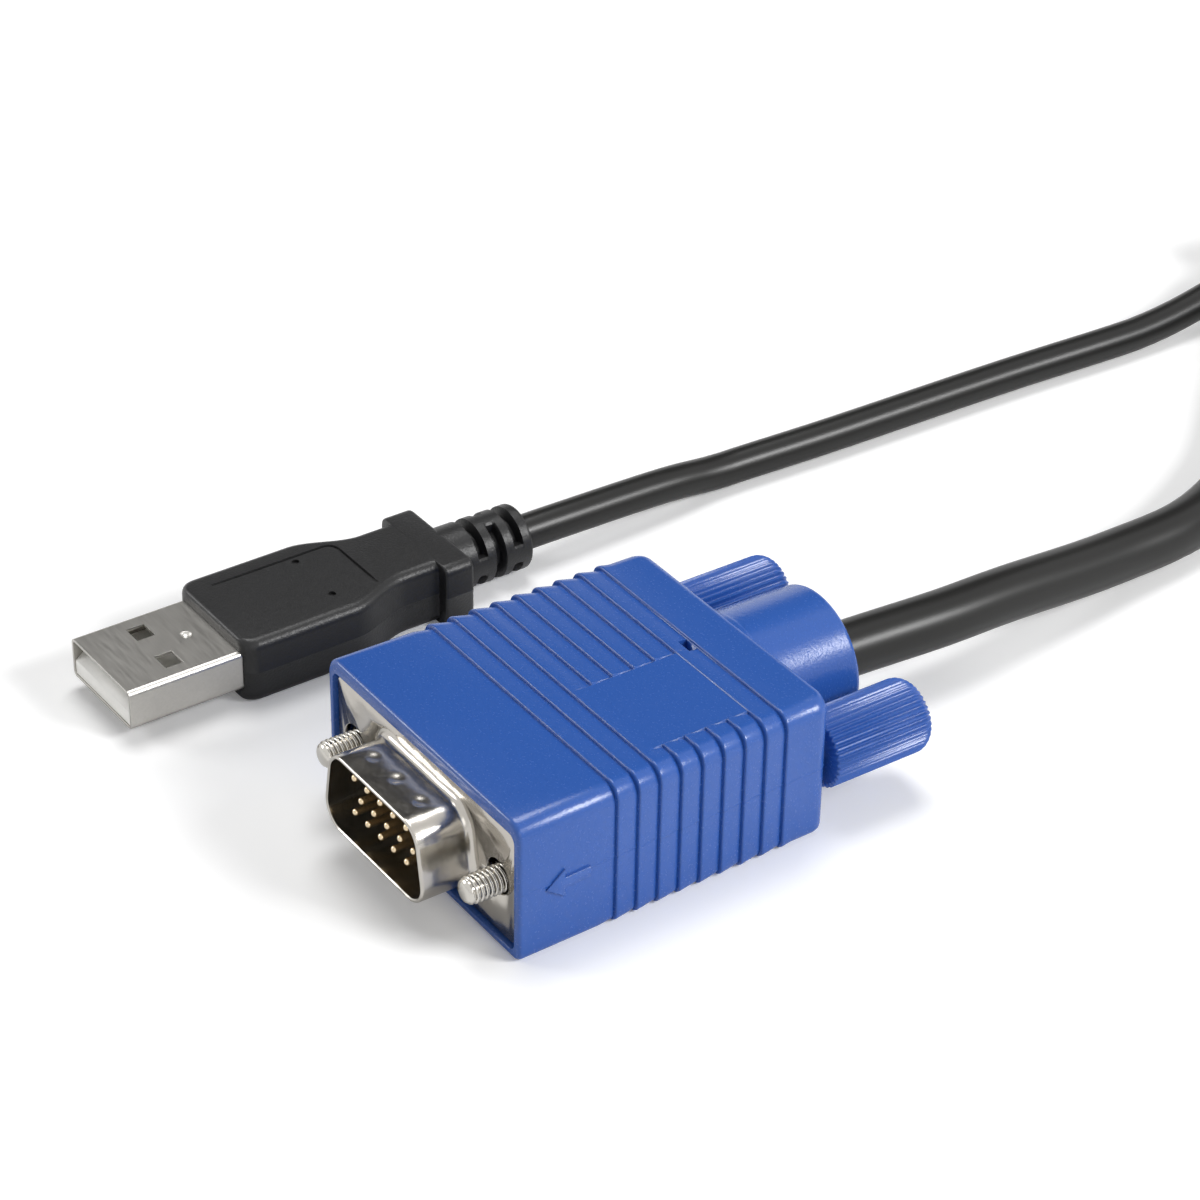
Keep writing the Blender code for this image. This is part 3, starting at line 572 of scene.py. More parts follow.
def hoodRings():
    h, s = hoodLook, stepLook
    r = h["rimRound"]
    places = [s["lastY"] - (s["count"] - i) * s["pitch"] for i in range(1, s["count"] + 1)]
    rings = [recessRing(h["recessDepth"]), recessRing(h["mouthRound"])]
    rings.append(recessRing(h["mouthRound"] * 0.3, h["mouthRound"] * 0.3))
    rings.append(recessRing(0.0, h["mouthRound"]))
    for a in quarterTurn(4):
        rings.append(hoodRing(r * (1 - math.cos(a)), inset=r * (1 - math.sin(a))))
    rings.append(hoodRing(places[0] - s["leadIn"]))
    # one wall: from the foot up over a small round crest, then a long slope back down
    wall = ((0.0, -1.0), (0.02, -0.25), (0.05, 0.45), (0.1, 0.8), (0.17, 1.0), (0.27, 0.97))
    for number, y in enumerate(places, start=1):
        for ahead, share in wall:
            level = s["crest"] * share if share > 0 else s["foot"] * share
            onPanel = s["panelFirst"] <= number < s["panelEnd"]
            panelLevel = 0.0 if onPanel else None
            if number == s["panelEnd"]:
                panelLevel = max(level, 0.0)
            rings.append(hoodRing(y + ahead * mm, level, panelLevel))
        if number in (s["panelFirst"] - 1, s["count"]):
            rings.append(hoodRing(y + s["fade"]))
    for a in quarterTurn(12):
        fromEnd = h["rearCorner"] * (1 - math.sin(a))
        inset, sideInset = roundInset(h["rearRound"], fromEnd), roundInset(h["rearCorner"], fromEnd)
        rings.append(hoodRing(h["length"] - fromEnd, inset=inset, sideInset=sideInset))
    return rings


def makeHood(name, matrix):
    h, b, s, o = hoodLook, bossLook, stepLook, slotLook
    hood = loftObject(name, hoodRings(), "blue", matrix)
    bm = bmesh.new()
    slotY = s["lastY"] - o["ahead"]
    addBox(
        bm,
        (0.0, slotY - o["length"] / 2, h["height"] - o["depth"]),
        (o["width"], slotY + o["length"] / 2, h["height"] + o["depth"]),
    )
    cutAway(hood, bm)
    end = h["length"] + b["length"]
    root = h["length"]
    foot = ((0.0, -1.2), (0.14, -0.1), (0.05, 0.12), (0.0, 0.35))  # millimetres out and back
    profile = [(b["radius"] + out * mm, root + back * mm) for out, back in foot]
    r = b["rimRound"]
    for a in quarterTurn(8):
        profile.append((b["endRadius"] - r * (1 - math.cos(a)), end - r * (1 - math.sin(a))))
    bm = bmesh.new()
    addTurned(bm, profile, b["sides"], 0.0, b["height"])
    boss = makeObject(name + "Boss", bm, mats["blue"], matrix)
    bm = bmesh.new()
    hole = [(b["mouth"] + out * mm, end + back * mm) for out, back in ((0.0, -1.6), (0.0, -0.2), (0.5, 0.3))]
    addTurned(bm, hole, 64, 0.0, b["height"] - b["cordDrop"])
    cutAway(boss, bm)
    arrow = makeArrow(name + "Arrow", matrix)
    return joinPieces(name, [hood, boss, arrow])


def makeArrow(name, matrix):
    a = arrowLook
    head, end = a["headLength"], a["headLength"] + a["shaftLength"]
    wide, narrow = a["headHalf"], a["shaftHalf"]
    half = [(head, wide), (head, narrow), (end, narrow)]
    outline = [(0.0, 0.0)] + half + [(y, -z) for y, z in reversed(half)]
    turn = math.radians(a["tiltDeg"])
    placed = []
    for y, z in outline:
        placed.append((
            a["tip"][0] + y * math.cos(turn) - z * math.sin(turn),
            a["tip"][1] + y * math.sin(turn) + z * math.cos(turn),
        ))
    side = hoodLook["width"] / 2
    slope = hoodLook["draft"] / hoodLook["length"]
    rings = [[(side - slope * y + rise, y, z) for y, z in placed] for rise in (-a["root"], a["rise"])]
    arrow = loftObject(name, rings, "blue", matrix)
    softenEdges(arrow, a["edgeRound"], 3)
    return arrow


def joinPieces(name, pieces):
    bm = bmesh.new()
    target = pieces[0]
    back = target.matrix_world.inverted()
    for piece in pieces:
        part = bmesh.new()
        part.from_mesh(piece.data)
        part.transform(back @ piece.matrix_world)
        holder = bpy.data.meshes.new("holder")
        part.to_mesh(holder)
        part.free()
        bm.from_mesh(holder)
        bpy.data.meshes.remove(holder)
    mesh = bpy.data.meshes.new(name)
    bm.to_mesh(mesh)
    bm.free()
    mesh.materials.append(target.data.materials[0])
    mesh.shade_smooth()
    mesh.set_sharp_from_angle(angle=math.radians(35.0))
    target.data = mesh
    for piece in pieces[1:]:
        bpy.data.objects.remove(piece)
    return target


def ferruleOutline(offset=0.0, cornerParts=10, topParts=60):
    f = ferruleLook
    lean = (f["top"] - f["bottom"]) / 2
    side = math.hypot(lean, f["height"])
    leanDeg = math.degrees(math.atan2(lean, f["height"]))
    r = f["corner"]
    highX = f["bottom"] / 2 + ((f["height"] - r) * lean - r * side) / f["height"]
    lowX = f["bottom"] / 2 + (r * lean - r * side) / f["height"]
    highZ = flangeLook["centreZ"] + f["height"] / 2 - r
    lowZ = flangeLook["centreZ"] - f["height"] / 2 + r
    grown = r + offset
    topLine = [(highX - 2 * highX * i / topParts, highZ + grown) for i in range(1, topParts)]
    return (
        arc(-lowX, lowZ, grown, 180 + leanDeg, 270, cornerParts)
        + arc(lowX, lowZ, grown, 270, 360 - leanDeg, cornerParts)
        + arc(highX, highZ, grown, -leanDeg, 90, cornerParts)
        + topLine
        + arc(-highX, highZ, grown, 90, 180 + leanDeg, cornerParts)
    )


def dimpledRing(y):
    f = ferruleLook
    rim = flangeLook["inset"] - f["length"]
    topLevel = flangeLook["centreZ"] + f["height"] / 2
    ring = []
    for x, z in ferruleOutline():
        if z > topLevel - 0.05 * mm:
            for place in (-1, 0, 1):
                away = math.hypot(x - place * f["dimplePitch"], y - rim - f["dimpleBack"]) / f["dimpleSize"]
                z -= f["dimpleDepth"] * math.exp(-away ** 2.4)
        ring.append((x, y, z))
    return ring


def makeFrontShell(name, matrix):
    f, g = ferruleLook, flangeLook
    front = g["inset"]
    rim = front - f["length"]
    low, high = g["centreZ"] - g["height"] / 2, g["centreZ"] + g["height"] / 2
    outline = roundedRect(g["width"] / 2, low, high, g["corner"], g["corner"], 6)
    plateRings = [atDepth(outline, front), atDepth(outline, front + g["thickness"])]
    plate = loftObject(name, plateRings, "nickel", matrix)
    bm = bmesh.new()
    inner = ferruleOutline(-f["wall"], 10, 2)
    addLoft(bm, [atDepth(inner, front - 1 * mm), atDepth(inner, front + 2 * mm)])
    for x in (-screwLook["spread"] / 2, screwLook["spread"] / 2):
        hole = [(g["holeRadius"], front + ahead) for ahead in (-1 * mm, 2 * mm)]
        addTurned(bm, hole, g["holeSides"], x, g["centreZ"])
    cutAway(plate, bm)
    softenEdges(plate, g["edgeRound"])

    places = []  # how far out from the outline, and where along the plug
    for a in quarterTurn(4):
        places.append((-f["lip"] * (1 - math.sin(a)), rim + f["lip"] * (1 - math.cos(a))))
    rings = [atDepth(ferruleOutline(offset), y) for offset, y in places]
    rootStart = front - f["root"]
    for i in range(1, f["sideRings"] + 1):
        rings.append(dimpledRing(rim + f["lip"] + (rootStart - rim - f["lip"]) * i / f["sideRings"]))
    places = []
    for a in quarterTurn(6)[1:]:
        places.append((f["root"] * (1 - math.cos(a)), rootStart + f["root"] * math.sin(a) * 0.995))
    places += [
        (f["root"], front + 0.02 * mm), (-f["wall"], front + g["thickness"]),
        (-f["wall"], rim + f["lip"] * 0.5), (-f["wall"] * 0.7, rim),
    ]
    rings += [atDepth(ferruleOutline(offset), y) for offset, y in places]
    ferrule = loftObject(name + "Ferrule", rings, "nickel", matrix, closed=True)
    return joinPieces(name, [plate, ferrule])


def makePins(name, matrix):
    p = pinLook
    tip = flangeLook["inset"] - p["reach"]
    bm = bmesh.new()
    for row in range(3):
        shift = p["pitch"] / 4 if row == 1 else -p["pitch"] / 4
        for i in range(5):
            profile = []
            for a in quarterTurn(5):
                radius = max(p["radius"] * math.sin(a), p["tipFlat"])
                profile.append((radius, tip + p["radius"] * 0.9 * (1 - math.cos(a))))
            profile.append((p["radius"], flangeLook["inset"] + p["root"]))
            x = (i - 2) * p["pitch"] + shift
            addTurned(bm, profile, p["sides"], x, flangeLook["centreZ"] + (1 - row) * p["rowPitch"])
    return makeObject(name, bm, mats["gold"], matrix)


def makeScrew(name, matrix):
    s = screwLook
    tip = flangeLook["inset"] - s["reach"]
    end = hoodLook["length"] + knobLook["clear"] + s["grip"]
    rings = []
    ringStep = s["pitch"] / s["ringsPerTurn"]
    count = int((s["threadEnd"] - tip) / ringStep)
    for k in range(count + 1):
        y = tip + k * ringStep
        into = y - tip
        limit = s["radius"]
        if into < s["tipLength"]:  # a dome that the thread runs out on
            t = 1 - into / s["tipLength"]
            limit = s["radius"] * (s["tipShare"] + (1 - s["tipShare"]) * math.sqrt(max(1 - t ** 2.6, 0.0)))
        ring = []
        for i in range(s["sides"]):
            a = 2 * math.pi * i / s["sides"]
            phase = (y / s["pitch"] + i / s["sides"]) % 1.0
            flank = abs(2 * phase - 1)
            radius = s["radius"] - s["threadDepth"] * (1 - smoothStep(0.12, 0.88, flank))
            radius = min(radius, limit)
            ring.append((radius * math.cos(a), y, radius * math.sin(a)))
        rings.append(ring)
    rings += [circleAt(s["shankRadius"], y, s["sides"]) for y in (s["threadEnd"] + s["runOut"], end)]
    return loftObject(name, rings, "steel", matrix, smoothDeg=50.0)


def knobRing(y, radius, depthShare=1.0):
    k = knobLook
    count = k["ridges"] * k["pointsPerRidge"]
    ring = []
    for i in range(count):
        a = 2 * math.pi * i / count
        wave = abs(math.cos(a * k["ridges"] / 2))  # narrow crests between rounded grooves
        r = radius - k["ridgeDepth"] * depthShare * (1 - wave ** 2.6)
        ring.append((r * math.cos(a), y, r * math.sin(a)))
    return ring


def makeKnob(name, matrix):
    k = knobLook
    front = hoodLook["length"] + k["clear"]
    rear = front + k["length"]
    rings = [knobRing(front, screwLook["shankRadius"], 0.0)]
    for back, smaller, share in ((0.0, 0.35, 0.6), (0.06, 0.1, 1.0), (0.2, 0.0, 1.0)):  # small front chamfer
        rings.append(knobRing(front + back * mm, k["radius"] - smaller * mm, share))
    for part in range(11):
        a = math.radians(k["roundDeg"] * part / 10)
        drop = k["round"] * (1 - math.cos(a))
        rings.append(knobRing(rear - k["round"] * (1 - math.sin(a)), k["radius"] - drop, 1 - 0.4 * part / 10))
    rings.append(knobRing(rear, k["radius"] - k["round"] - 0.25 * mm, 0.1))
    rings.append(knobRing(rear, k["endHub"], 0.0))
    return loftObject(name, rings, "blue", matrix, smoothDeg=60.0)


def makeInsulator(name, matrix):
    i = insulatorLook
    front, end = i["frontY"], flangeLook["inset"] + i["length"]
    r = i["edgeRound"]
    outlines = [(r, front), (r * 0.3, front + r * 0.3), (0.0, front + r), (0.0, end)]
    inside = -ferruleLook["wall"] - i["gap"]
    rings = [atDepth(ferruleOutline(inside - rounding, 10, 2), y) for rounding, y in outlines]
    return loftObject(name, rings, "insulator", matrix)


def settle(piece):  # writes the piece's place into its mesh, so its box stays tight
    piece.data.transform(piece.matrix_world)
    piece.matrix_world = Matrix()
    return piece


def place(piece, body, slot, *replaced):
    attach(piece, body)
    if replaced:
        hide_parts(*replaced)
    return piece


def makeVideoPlug(prefix, origin, replaced, bodies):
    matrix = Matrix.Translation(origin)
    pieces = [
        place(makeHood(prefix + "Hood", matrix), "cable", "blue_plastic", replaced["hood"]),
        place(makeFrontShell(prefix + "FrontShell", matrix), "cable", "nickel_plate", replaced["shell"]),
        place(makeInsulator(prefix + "Insulator", matrix), "cable", "black_plastic", replaced["insulator"]),
        place(makePins(prefix + "Pins", matrix), "cable", "gold_plate", *replaced["pins"]),
    ]
    for side, sign in (("Left", -1), ("Right", 1)):
        back = knobLook["leftBack"] if side == "Left" and prefix == "vga" else 0.0
        axis = matrix @ Matrix.Translation((sign * screwLook["spread"] / 2, 0.0, screwLook["height"]))
        screw = makeScrew(f"{prefix}{side}Screw", axis)
        knob = makeKnob(f"{prefix}{side}Knob", axis @ Matrix.Translation((0.0, back, 0.0)))
        pieces.append(place(screw, bodies[side], "steel", replaced["screw" + side]))
        pieces.append(place(knob, bodies[side], "blue_plastic", replaced["knob" + side]))
    return pieces


print("scene: video plug")
makeVideoPlug(
    "vga",
    plugOrigin,
    {
        "hood": "vga_hood", "shell": "vga_front_shell", "insulator": "vga_insulator",
        "pins": [f"vga_pin_{i:02d}" for i in range(1, 16)],
        "screwLeft": "left_screw", "screwRight": "right_screw",
        "knobLeft": "left_knob", "knobRight": "right_knob",
    },
    {"Left": "left_thumbscrew", "Right": "right_thumbscrew"},
)

print("scene: far plug")
farPieces = makeVideoPlug(
    "far",
    farOrigin,
    {
        "hood": "far_hood", "shell": "far_front_shell", "insulator": "far_insulator",
        "pins": ["far_insulator"],  # one solid carries the far plug's pins
        "screwLeft": "far_left_thumbscrew", "screwRight": "far_right_thumbscrew",
        "knobLeft": "far_left_thumbscrew", "knobRight": "far_right_thumbscrew",
    },
    {"Left": "far_left_screw", "Right": "far_right_screw"},
)

# USB plug
usbLook = {
    "shellWidth": 12.0 * mm,
    "shellHeight": 4.5 * mm,
    "shellBase": 1.4 * mm,
    "wall": 0.3 * mm,
    "corner": 0.6 * mm,
    "seated": 4.0 * mm,
    "windowX": 2.9 * mm,
    "windowWidth": 2.4 * mm,
    "windowLength": 2.0 * mm,
    "windowY": 5.15 * mm,
    "dimpleY": 9.7 * mm,
    "dimpleRadius": 0.8 * mm,
    "dimpleDepth": 0.32 * mm,
    "edgeRound": 0.06 * mm,
}
tongueLook = {
    "setback": 0.1 * mm,
    "lip": 1.6 * mm,  # height of the upright front, under the ramp
    "ramp": 1.0 * mm,
    "shelf": 2.35 * mm,
    "reach": 9.2 * mm,
    "sideGap": 0.03 * mm,
    "edgeRound": 0.1 * mm,
}
mouldLook = {
    "front": 12.6 * mm,
    "frontCorner": 1.8 * mm,  # rounding of the upright corners in front
    "half": 7.16 * mm,
    "waistHalf": 4.9 * mm,
    "earHalf": 6.35 * mm,
    "thickness": 7.3 * mm,
    "edge": 1.1 * mm,
    "shoulderY": 25.5 * mm,
    "waistY": 33.0 * mm,
    "waistRings": 28,
    "earY": 36.8 * mm,
    "earFrontRound": 0.3 * mm,
    "earRearRound": 0.45 * mm,
    "endY": 40.3 * mm,
    "mouthRound": 0.5 * mm,
    "lineWidth": 0.5 * mm,
    "lineDepth": 0.24 * mm,
    "seamWidth": 0.1 * mm,
    "seamRise": 0.04 * mm,
    "lineX": -4.5 * mm,
    "lineFrontY": 15.4 * mm,
    "lineRearY": 29.7 * mm,
    "lineRightX": 4.3 * mm,
    "lineCorner": 1.2 * mm,
    "dotX": 3.6 * mm,
    "dotY": 24.75 * mm,
    "dotRadius": 0.4 * mm,
}
reliefLook = {
    "end": 49.6 * mm,
    "rootRadius": 3.65 * mm,
    "tipRadius": 3.6 * mm,
    "coreRadius": 2.45 * mm,
    "firstSlot": 42.8 * mm,
    "slot": 1.0 * mm,
    "pitch": 2.25 * mm,
    "slots": 3,
    "slotEdge": 0.09 * mm,
    "ringGap": 0.12 * mm,
    "tipRound": 0.35 * mm,
    "bridgeDeg": 40.0,
    "bridgeSoft": 0.04,
    "sides": 96,
}


def makeUsbShell(name, matrix):
    u = usbLook
    end = mouldLook["front"] + u["seated"]
    rings = []
    for y, inset in ((0.0, 0.0), (end, 0.0), (end, u["wall"]), (0.0, u["wall"])):
        radius = u["corner"] - inset * 0.8
        low, high = u["shellBase"] + inset, u["shellBase"] + u["shellHeight"] - inset
        rings.append(atDepth(roundedRect(u["shellWidth"] / 2 - inset, low, high, radius, radius, 8), y))
    shell = loftObject(name, rings, "usbNickel", matrix, closed=True)
    bm = bmesh.new()
    halfWide, windowEnd = u["windowWidth"] / 2, u["windowY"] + u["windowLength"]
    top = u["shellBase"] + u["shellHeight"]
    for x in (-u["windowX"], u["windowX"]):
        lowCorner = (x - halfWide, u["windowY"], u["shellBase"] - 1 * mm)
        addBox(bm, lowCorner, (x + halfWide, windowEnd, top + 1 * mm))
    ball = bmesh.ops.create_uvsphere(bm, u_segments=32, v_segments=24, radius=u["dimpleRadius"])
    ballZ = top + u["dimpleRadius"] - u["dimpleDepth"]
    bmesh.ops.translate(bm, verts=ball["verts"], vec=(0.0, u["dimpleY"], ballZ))
    cutAway(shell, bm)
    softenEdges(shell, u["edgeRound"])
    flattenShading(shell)
    return shell


def makeTongue(name, matrix):
    t, u = tongueLook, usbLook
    low = u["shellBase"] + u["wall"] + 0.01 * mm
    high = u["shellBase"] + u["shellHeight"] - u["wall"] - 0.01 * mm
    half = u["shellWidth"] / 2 - u["wall"] - t["sideGap"]
    front, back = t["setback"], mouldLook["front"] + u["seated"] - 0.2 * mm
    shelf = low + t["shelf"]
    profile = [
        (front, low), (front, low + t["lip"]), (front + t["ramp"], shelf), (t["reach"], shelf),
        (t["reach"], high), (back, high), (back, low),
    ]
    tongue = loftObject(name, [[(x, y, z) for y, z in profile] for x in (-half, half)], "white", matrix)
    softenEdges(tongue, t["edgeRound"], 3, 25.0)
    return tongue


def partingLine(z, wide, rise):
    return [(0.0, z - wide), (rise, z - wide * 0.3), (rise, z + wide * 0.3), (0.0, z + wide)]


def mouldHalf(y):
    m = mouldLook
    return m["half"] + (m["waistHalf"] - m["half"]) * smoothStep(m["shoulderY"], m["waistY"], y)


def mouldRing(y, half, inset=0.0, sideInset=None):
    m = mouldLook
    sideInset = inset if sideInset is None else sideInset
    radius = m["edge"] - inset * 0.5
    seam = partingLine(m["thickness"] / 2, m["seamWidth"], m["seamRise"])
    top = m["thickness"] - inset
    return atDepth(roundedRect(half - sideInset, inset, top, radius, radius, 8, (), seam), y)


def makeMould(name, matrix):
    m, u = mouldLook, usbLook
    pocket = roundedRect(
        u["shellWidth"] / 2 + 0.03 * mm,
        u["shellBase"] - 0.03 * mm,
        u["shellBase"] + u["shellHeight"] + 0.03 * mm,
        u["corner"], u["corner"], 8,
    )
    rings = []
    for a in quarterTurn(12):
        fromEnd = m["frontCorner"] * (1 - math.cos(a))
        inset, sideInset = roundInset(m["mouthRound"], fromEnd), roundInset(m["frontCorner"], fromEnd)
        rings.append(mouldRing(m["front"] + fromEnd, m["half"], inset, sideInset))
    for i in range(m["waistRings"] + 1):
        y = m["shoulderY"] + (m["waistY"] - m["shoulderY"]) * i / m["waistRings"]
        rings.append(mouldRing(y, mouldHalf(y)))
    rings.append(mouldRing(m["earY"] - 0.4 * mm, m["waistHalf"]))
    rings.append(mouldRing(m["earY"] - 0.05 * mm, m["waistHalf"] + 0.12 * mm))
    e = m["earFrontRound"]
    for a in quarterTurn(4):
        rings.append(mouldRing(m["earY"] + e * (1 - math.cos(a)), m["earHalf"] - e * (1 - math.sin(a))))
    e = m["earRearRound"]
    for a in quarterTurn(4):
        rings.append(mouldRing(m["endY"] - e * (1 - math.sin(a)), m["earHalf"], e * (1 - math.cos(a))))
    mould = loftObject(name, rings, "black", matrix)
    bm = bmesh.new()
    addLoft(bm, [atDepth(pocket, m["front"] - 1 * mm), atDepth(pocket, m["front"] + 3.6 * mm)])
    cutAway(mould, bm)
    cutAway(mould, frameLineCutter())
    relief = makeRelief(name + "Relief", matrix)
    return joinPieces(name, [mould, relief])


def frameLineCutter():
    m = mouldLook
    c = m["lineCorner"]
    path = [(m["lineX"], m["lineFrontY"], 0.7)]
    path.append((m["lineX"], m["lineFrontY"] + 3 * mm, 1.0))
    corner = arc(m["lineX"] + c, m["lineRearY"] - c, c, 180, 90, 6)
    path += [(x, y, 1.0) for x, y in corner]
    path.append((m["lineRightX"] - 2 * mm, m["lineRearY"], 1.0))
    path.append((m["lineRightX"], m["lineRearY"], 0.3))
    bm = bmesh.new()
    rings = []
    top = m["thickness"]
    for i, (x, y, share) in enumerate(path):
        before, after = path[max(i - 1, 0)], path[min(i + 1, len(path) - 1)]
        along = Vector((after[0] - before[0], after[1] - before[1])).normalized()
        side = Vector((-along.y, along.x)) * m["lineWidth"] / 2
        deep = top - m["lineDepth"] * share
        rings.append([
            (x - side.x, y - side.y, top + 0.2 * mm), (x + side.x, y + side.y, top + 0.2 * mm),
            (x + side.x * 0.5, y + side.y * 0.5, deep), (x - side.x * 0.5, y - side.y * 0.5, deep),
        ])
    addLoft(bm, rings)
    for x in (-m["dotX"], m["dotX"]):
        pole = bmesh.ops.create_cone(
            bm, cap_ends=True, segments=24, radius1=m["dotRadius"], radius2=m["dotRadius"], depth=0.8 * mm,
        )
        bmesh.ops.translate(bm, verts=pole["verts"], vec=(x, m["dotY"], top + 0.1 * mm))
    return bm


def reliefShare(y, angle):
    r = reliefLook
    edge = r["slotEdge"]
    share = 1.0
    for slot in range(r["slots"]):
        start = r["firstSlot"] + slot * r["pitch"]
        end = start + r["slot"]
        inSlot = smoothStep(start - edge, start + edge, y) * (1 - smoothStep(end - edge, end + edge, y))
        around = abs(math.sin(angle)) if slot % 2 == 0 else abs(math.cos(angle))
        limit = math.sin(math.radians(r["bridgeDeg"] / 2))
        bridge = 1 - smoothStep(limit - r["bridgeSoft"], limit + r["bridgeSoft"], around)
        share = min(share, 1 - inSlot * (1 - bridge))
    return share


def makeRelief(name, matrix):
    r = reliefLook
    start = mouldLook["endY"] - 0.5 * mm
    count = int((r["end"] - start) / r["ringGap"])
    centreZ = mouldLook["thickness"] / 2
    rings = []
    for k in range(count + 1):
        y = start + (r["end"] - start) * k / count
        along = (y - start) / (r["end"] - start)
        outer = r["rootRadius"] + (r["tipRadius"] - r["rootRadius"]) * along
        outer -= roundInset(r["tipRound"], r["end"] - y)
        ring = []
        for i in range(r["sides"]):
            a = 2 * math.pi * i / r["sides"]
            radius = r["coreRadius"] + (outer - r["coreRadius"]) * reliefShare(y, a)
            ring.append((radius * math.cos(a), y, centreZ + radius * math.sin(a)))
        rings.append(ring)
    for radius, y in ((2.2 * mm, r["end"]), (2.05 * mm, r["end"] - 0.6 * mm)):  # mouth round the cord
        rings.append(circleAt(radius, y, r["sides"], 0.0, centreZ))
    return loftObject(name, rings, "black", matrix)


print("scene: USB plug")
place(settle(makeUsbShell("usbShell", usbMatrix)), "cable", "nickel_plate", "usb_shell")
place(settle(makeTongue("usbTongue", usbMatrix)), "cable", "white_plastic", "usb_tongue")
place(settle(makeMould("usbMould", usbMatrix)), "cable", "black_plastic", "usb_overmould")

print("scene: finishes on the packed solids")
nodeLooks = {
    "vga_rear_shell": "nickel",
    "usb_contact_1": "gold", "usb_contact_2": "gold", "usb_contact_3": "gold", "usb_contact_4": "gold",
    "coil_tie_1": "strap", "coil_tie_2": "strap",
}
for nodeName, lookName in nodeLooks.items():
    nodes[nodeName].data.materials.clear()
    nodes[nodeName].data.materials.append(mats[lookName])

# Yoke where the two leads join
yokeLook = {
    "frontCorner": 1.4 * mm,
    "backCorner": 6.4 * mm,
    "edge": 2.0 * mm,
    "endRound": 0.9 * mm,
    "seamWidth": 0.12 * mm,
    "seamRise": 0.05 * mm,
}


def yokeRings(corner):
    k = yokeLook
    widest = (yokeHigh.x - yokeLow.x) / 2 - k["seamRise"]
    seam = partingLine(yokeHigh.z / 2, k["seamWidth"], k["seamRise"])
    rings = []
    for a in quarterTurn(16):
        fromEnd = corner * (1 - math.cos(a))
        half, inset = widest - roundInset(corner, fromEnd), roundInset(k["endRound"], fromEnd)
        radius = k["edge"] - inset * 0.5
        rings.append((roundedRect(half, inset, yokeHigh.z - inset, radius, radius, 8, (), seam), fromEnd))
    return rings


def makeYoke(name):
    front, back = yokeRings(yokeLook["frontCorner"]), yokeRings(yokeLook["backCorner"])
    rings = [atDepth(outline, yokeLow.y + fromEnd) for outline, fromEnd in front]
    rings += [atDepth(outline, yokeHigh.y - fromEnd) for outline, fromEnd in reversed(back)]
    middle = Matrix.Translation(((yokeLow.x + yokeHigh.x) / 2, 0.0, 0.0))
    return settle(loftObject(name, rings, "black", middle))


place(makeYoke("yokeBody"), "cable", "black_plastic", "yoke")

# Cords, from the same route points as the solids
cordLook = {
    "usb": 3.9 * mm,
    "vga": 5.9 * mm,
    "trunk": 6.0 * mm,
    "pointGap": 2.0 * mm,
    "sides": 8,  # bevel resolution
}


def splinePoint(p0, p1, p2, p3, t):
    return 0.5 * (
        2 * p1
        + (p2 - p0) * t
        + (2 * p0 - 5 * p1 + 4 * p2 - p3) * t * t
        + (3 * p1 - p0 - 3 * p2 + p3) * t * t * t
    )


def smoothRoute(route, lowest):
    points = [Vector(p) for p in route]
    points = [2 * points[0] - points[1]] + points + [2 * points[-1] - points[-2]]
    made = []
    for i in range(1, len(points) - 2):
        parts = max(2, int((points[i + 1] - points[i]).length / cordLook["pointGap"]))
        for k in range(parts):
            made.append(splinePoint(*points[i - 1:i + 3], k / parts))
    made.append(points[-2])
    for point in made:
        point.z = max(point.z, lowest)
    return made


def makeCord(name, points, diameter):
    curve = bpy.data.curves.new(name, "CURVE")
    curve.dimensions = "3D"
    curve.bevel_depth = diameter / 2
    curve.bevel_resolution = cordLook["sides"]
    curve.use_fill_caps = True
    spline = curve.splines.new("POLY")
    spline.points.add(len(points) - 1)
    for place, point in zip(spline.points, points):
        place.co = (*point, 1.0)
    spline.use_smooth = True
    curve.materials.append(mats["cord"])
    cord = bpy.data.objects.new(name, curve)
    bpy.context.collection.objects.link(cord)
    return cord


def usbPoint(y, z):
    return usbMatrix @ Vector((0.0, y, z))


def fromPlug(x, y, z):
    return plugOrigin + Vector((x, y, z)) * mm


yokeMid = yokeHigh.z / 2
yokeX = (yokeLow.x + yokeHigh.x) / 2
usbRoute = [
    usbPoint(reliefLook["end"] - 0.5 * mm, mouldLook["thickness"] / 2),
    usbPoint(56.0 * mm, 3.55 * mm),
    fromPlug(-40.5, 56.5, 2.9),
    fromPlug(-40.9, 64.8, 1.95),
    fromPlug(-40.4, 79.5, 1.95),
    fromPlug(-40.0, 104.2, 1.95),
    fromPlug(-39.3, 123.5, 1.95),
    fromPlug(-40.0, 136.0, 3.0),
    Vector((yokeX - 7.2 * mm, yokeLow.y - 4 * mm, yokeMid)),
    Vector((yokeX - 7.2 * mm, yokeLow.y + 0.5 * mm, yokeMid)),
]
bossEnd = hoodLook["length"] + bossLook["length"]
cordHeight = bossLook["height"] - bossLook["cordDrop"]
vgaRoute = [
    plugOrigin + Vector((0.0, bossEnd - 1.0 * mm, cordHeight)),
    fromPlug(0.1, 52.5, 6.7),
    fromPlug(0.2, 62.0, 6.2),
    fromPlug(-0.4, 71.0, 5.5),
    fromPlug(-1.8, 87.0, 3.6),
    fromPlug(-3.6, 101.1, 2.95),
    fromPlug(-10.5, 116.0, 2.95),
    fromPlug(-20.5, 129.0, 3.6),
    Vector((yokeX + 6.2 * mm, yokeLow.y - 7 * mm, yokeMid)),
    Vector((yokeX + 6.2 * mm, yokeLow.y + 0.5 * mm, yokeMid)),
]
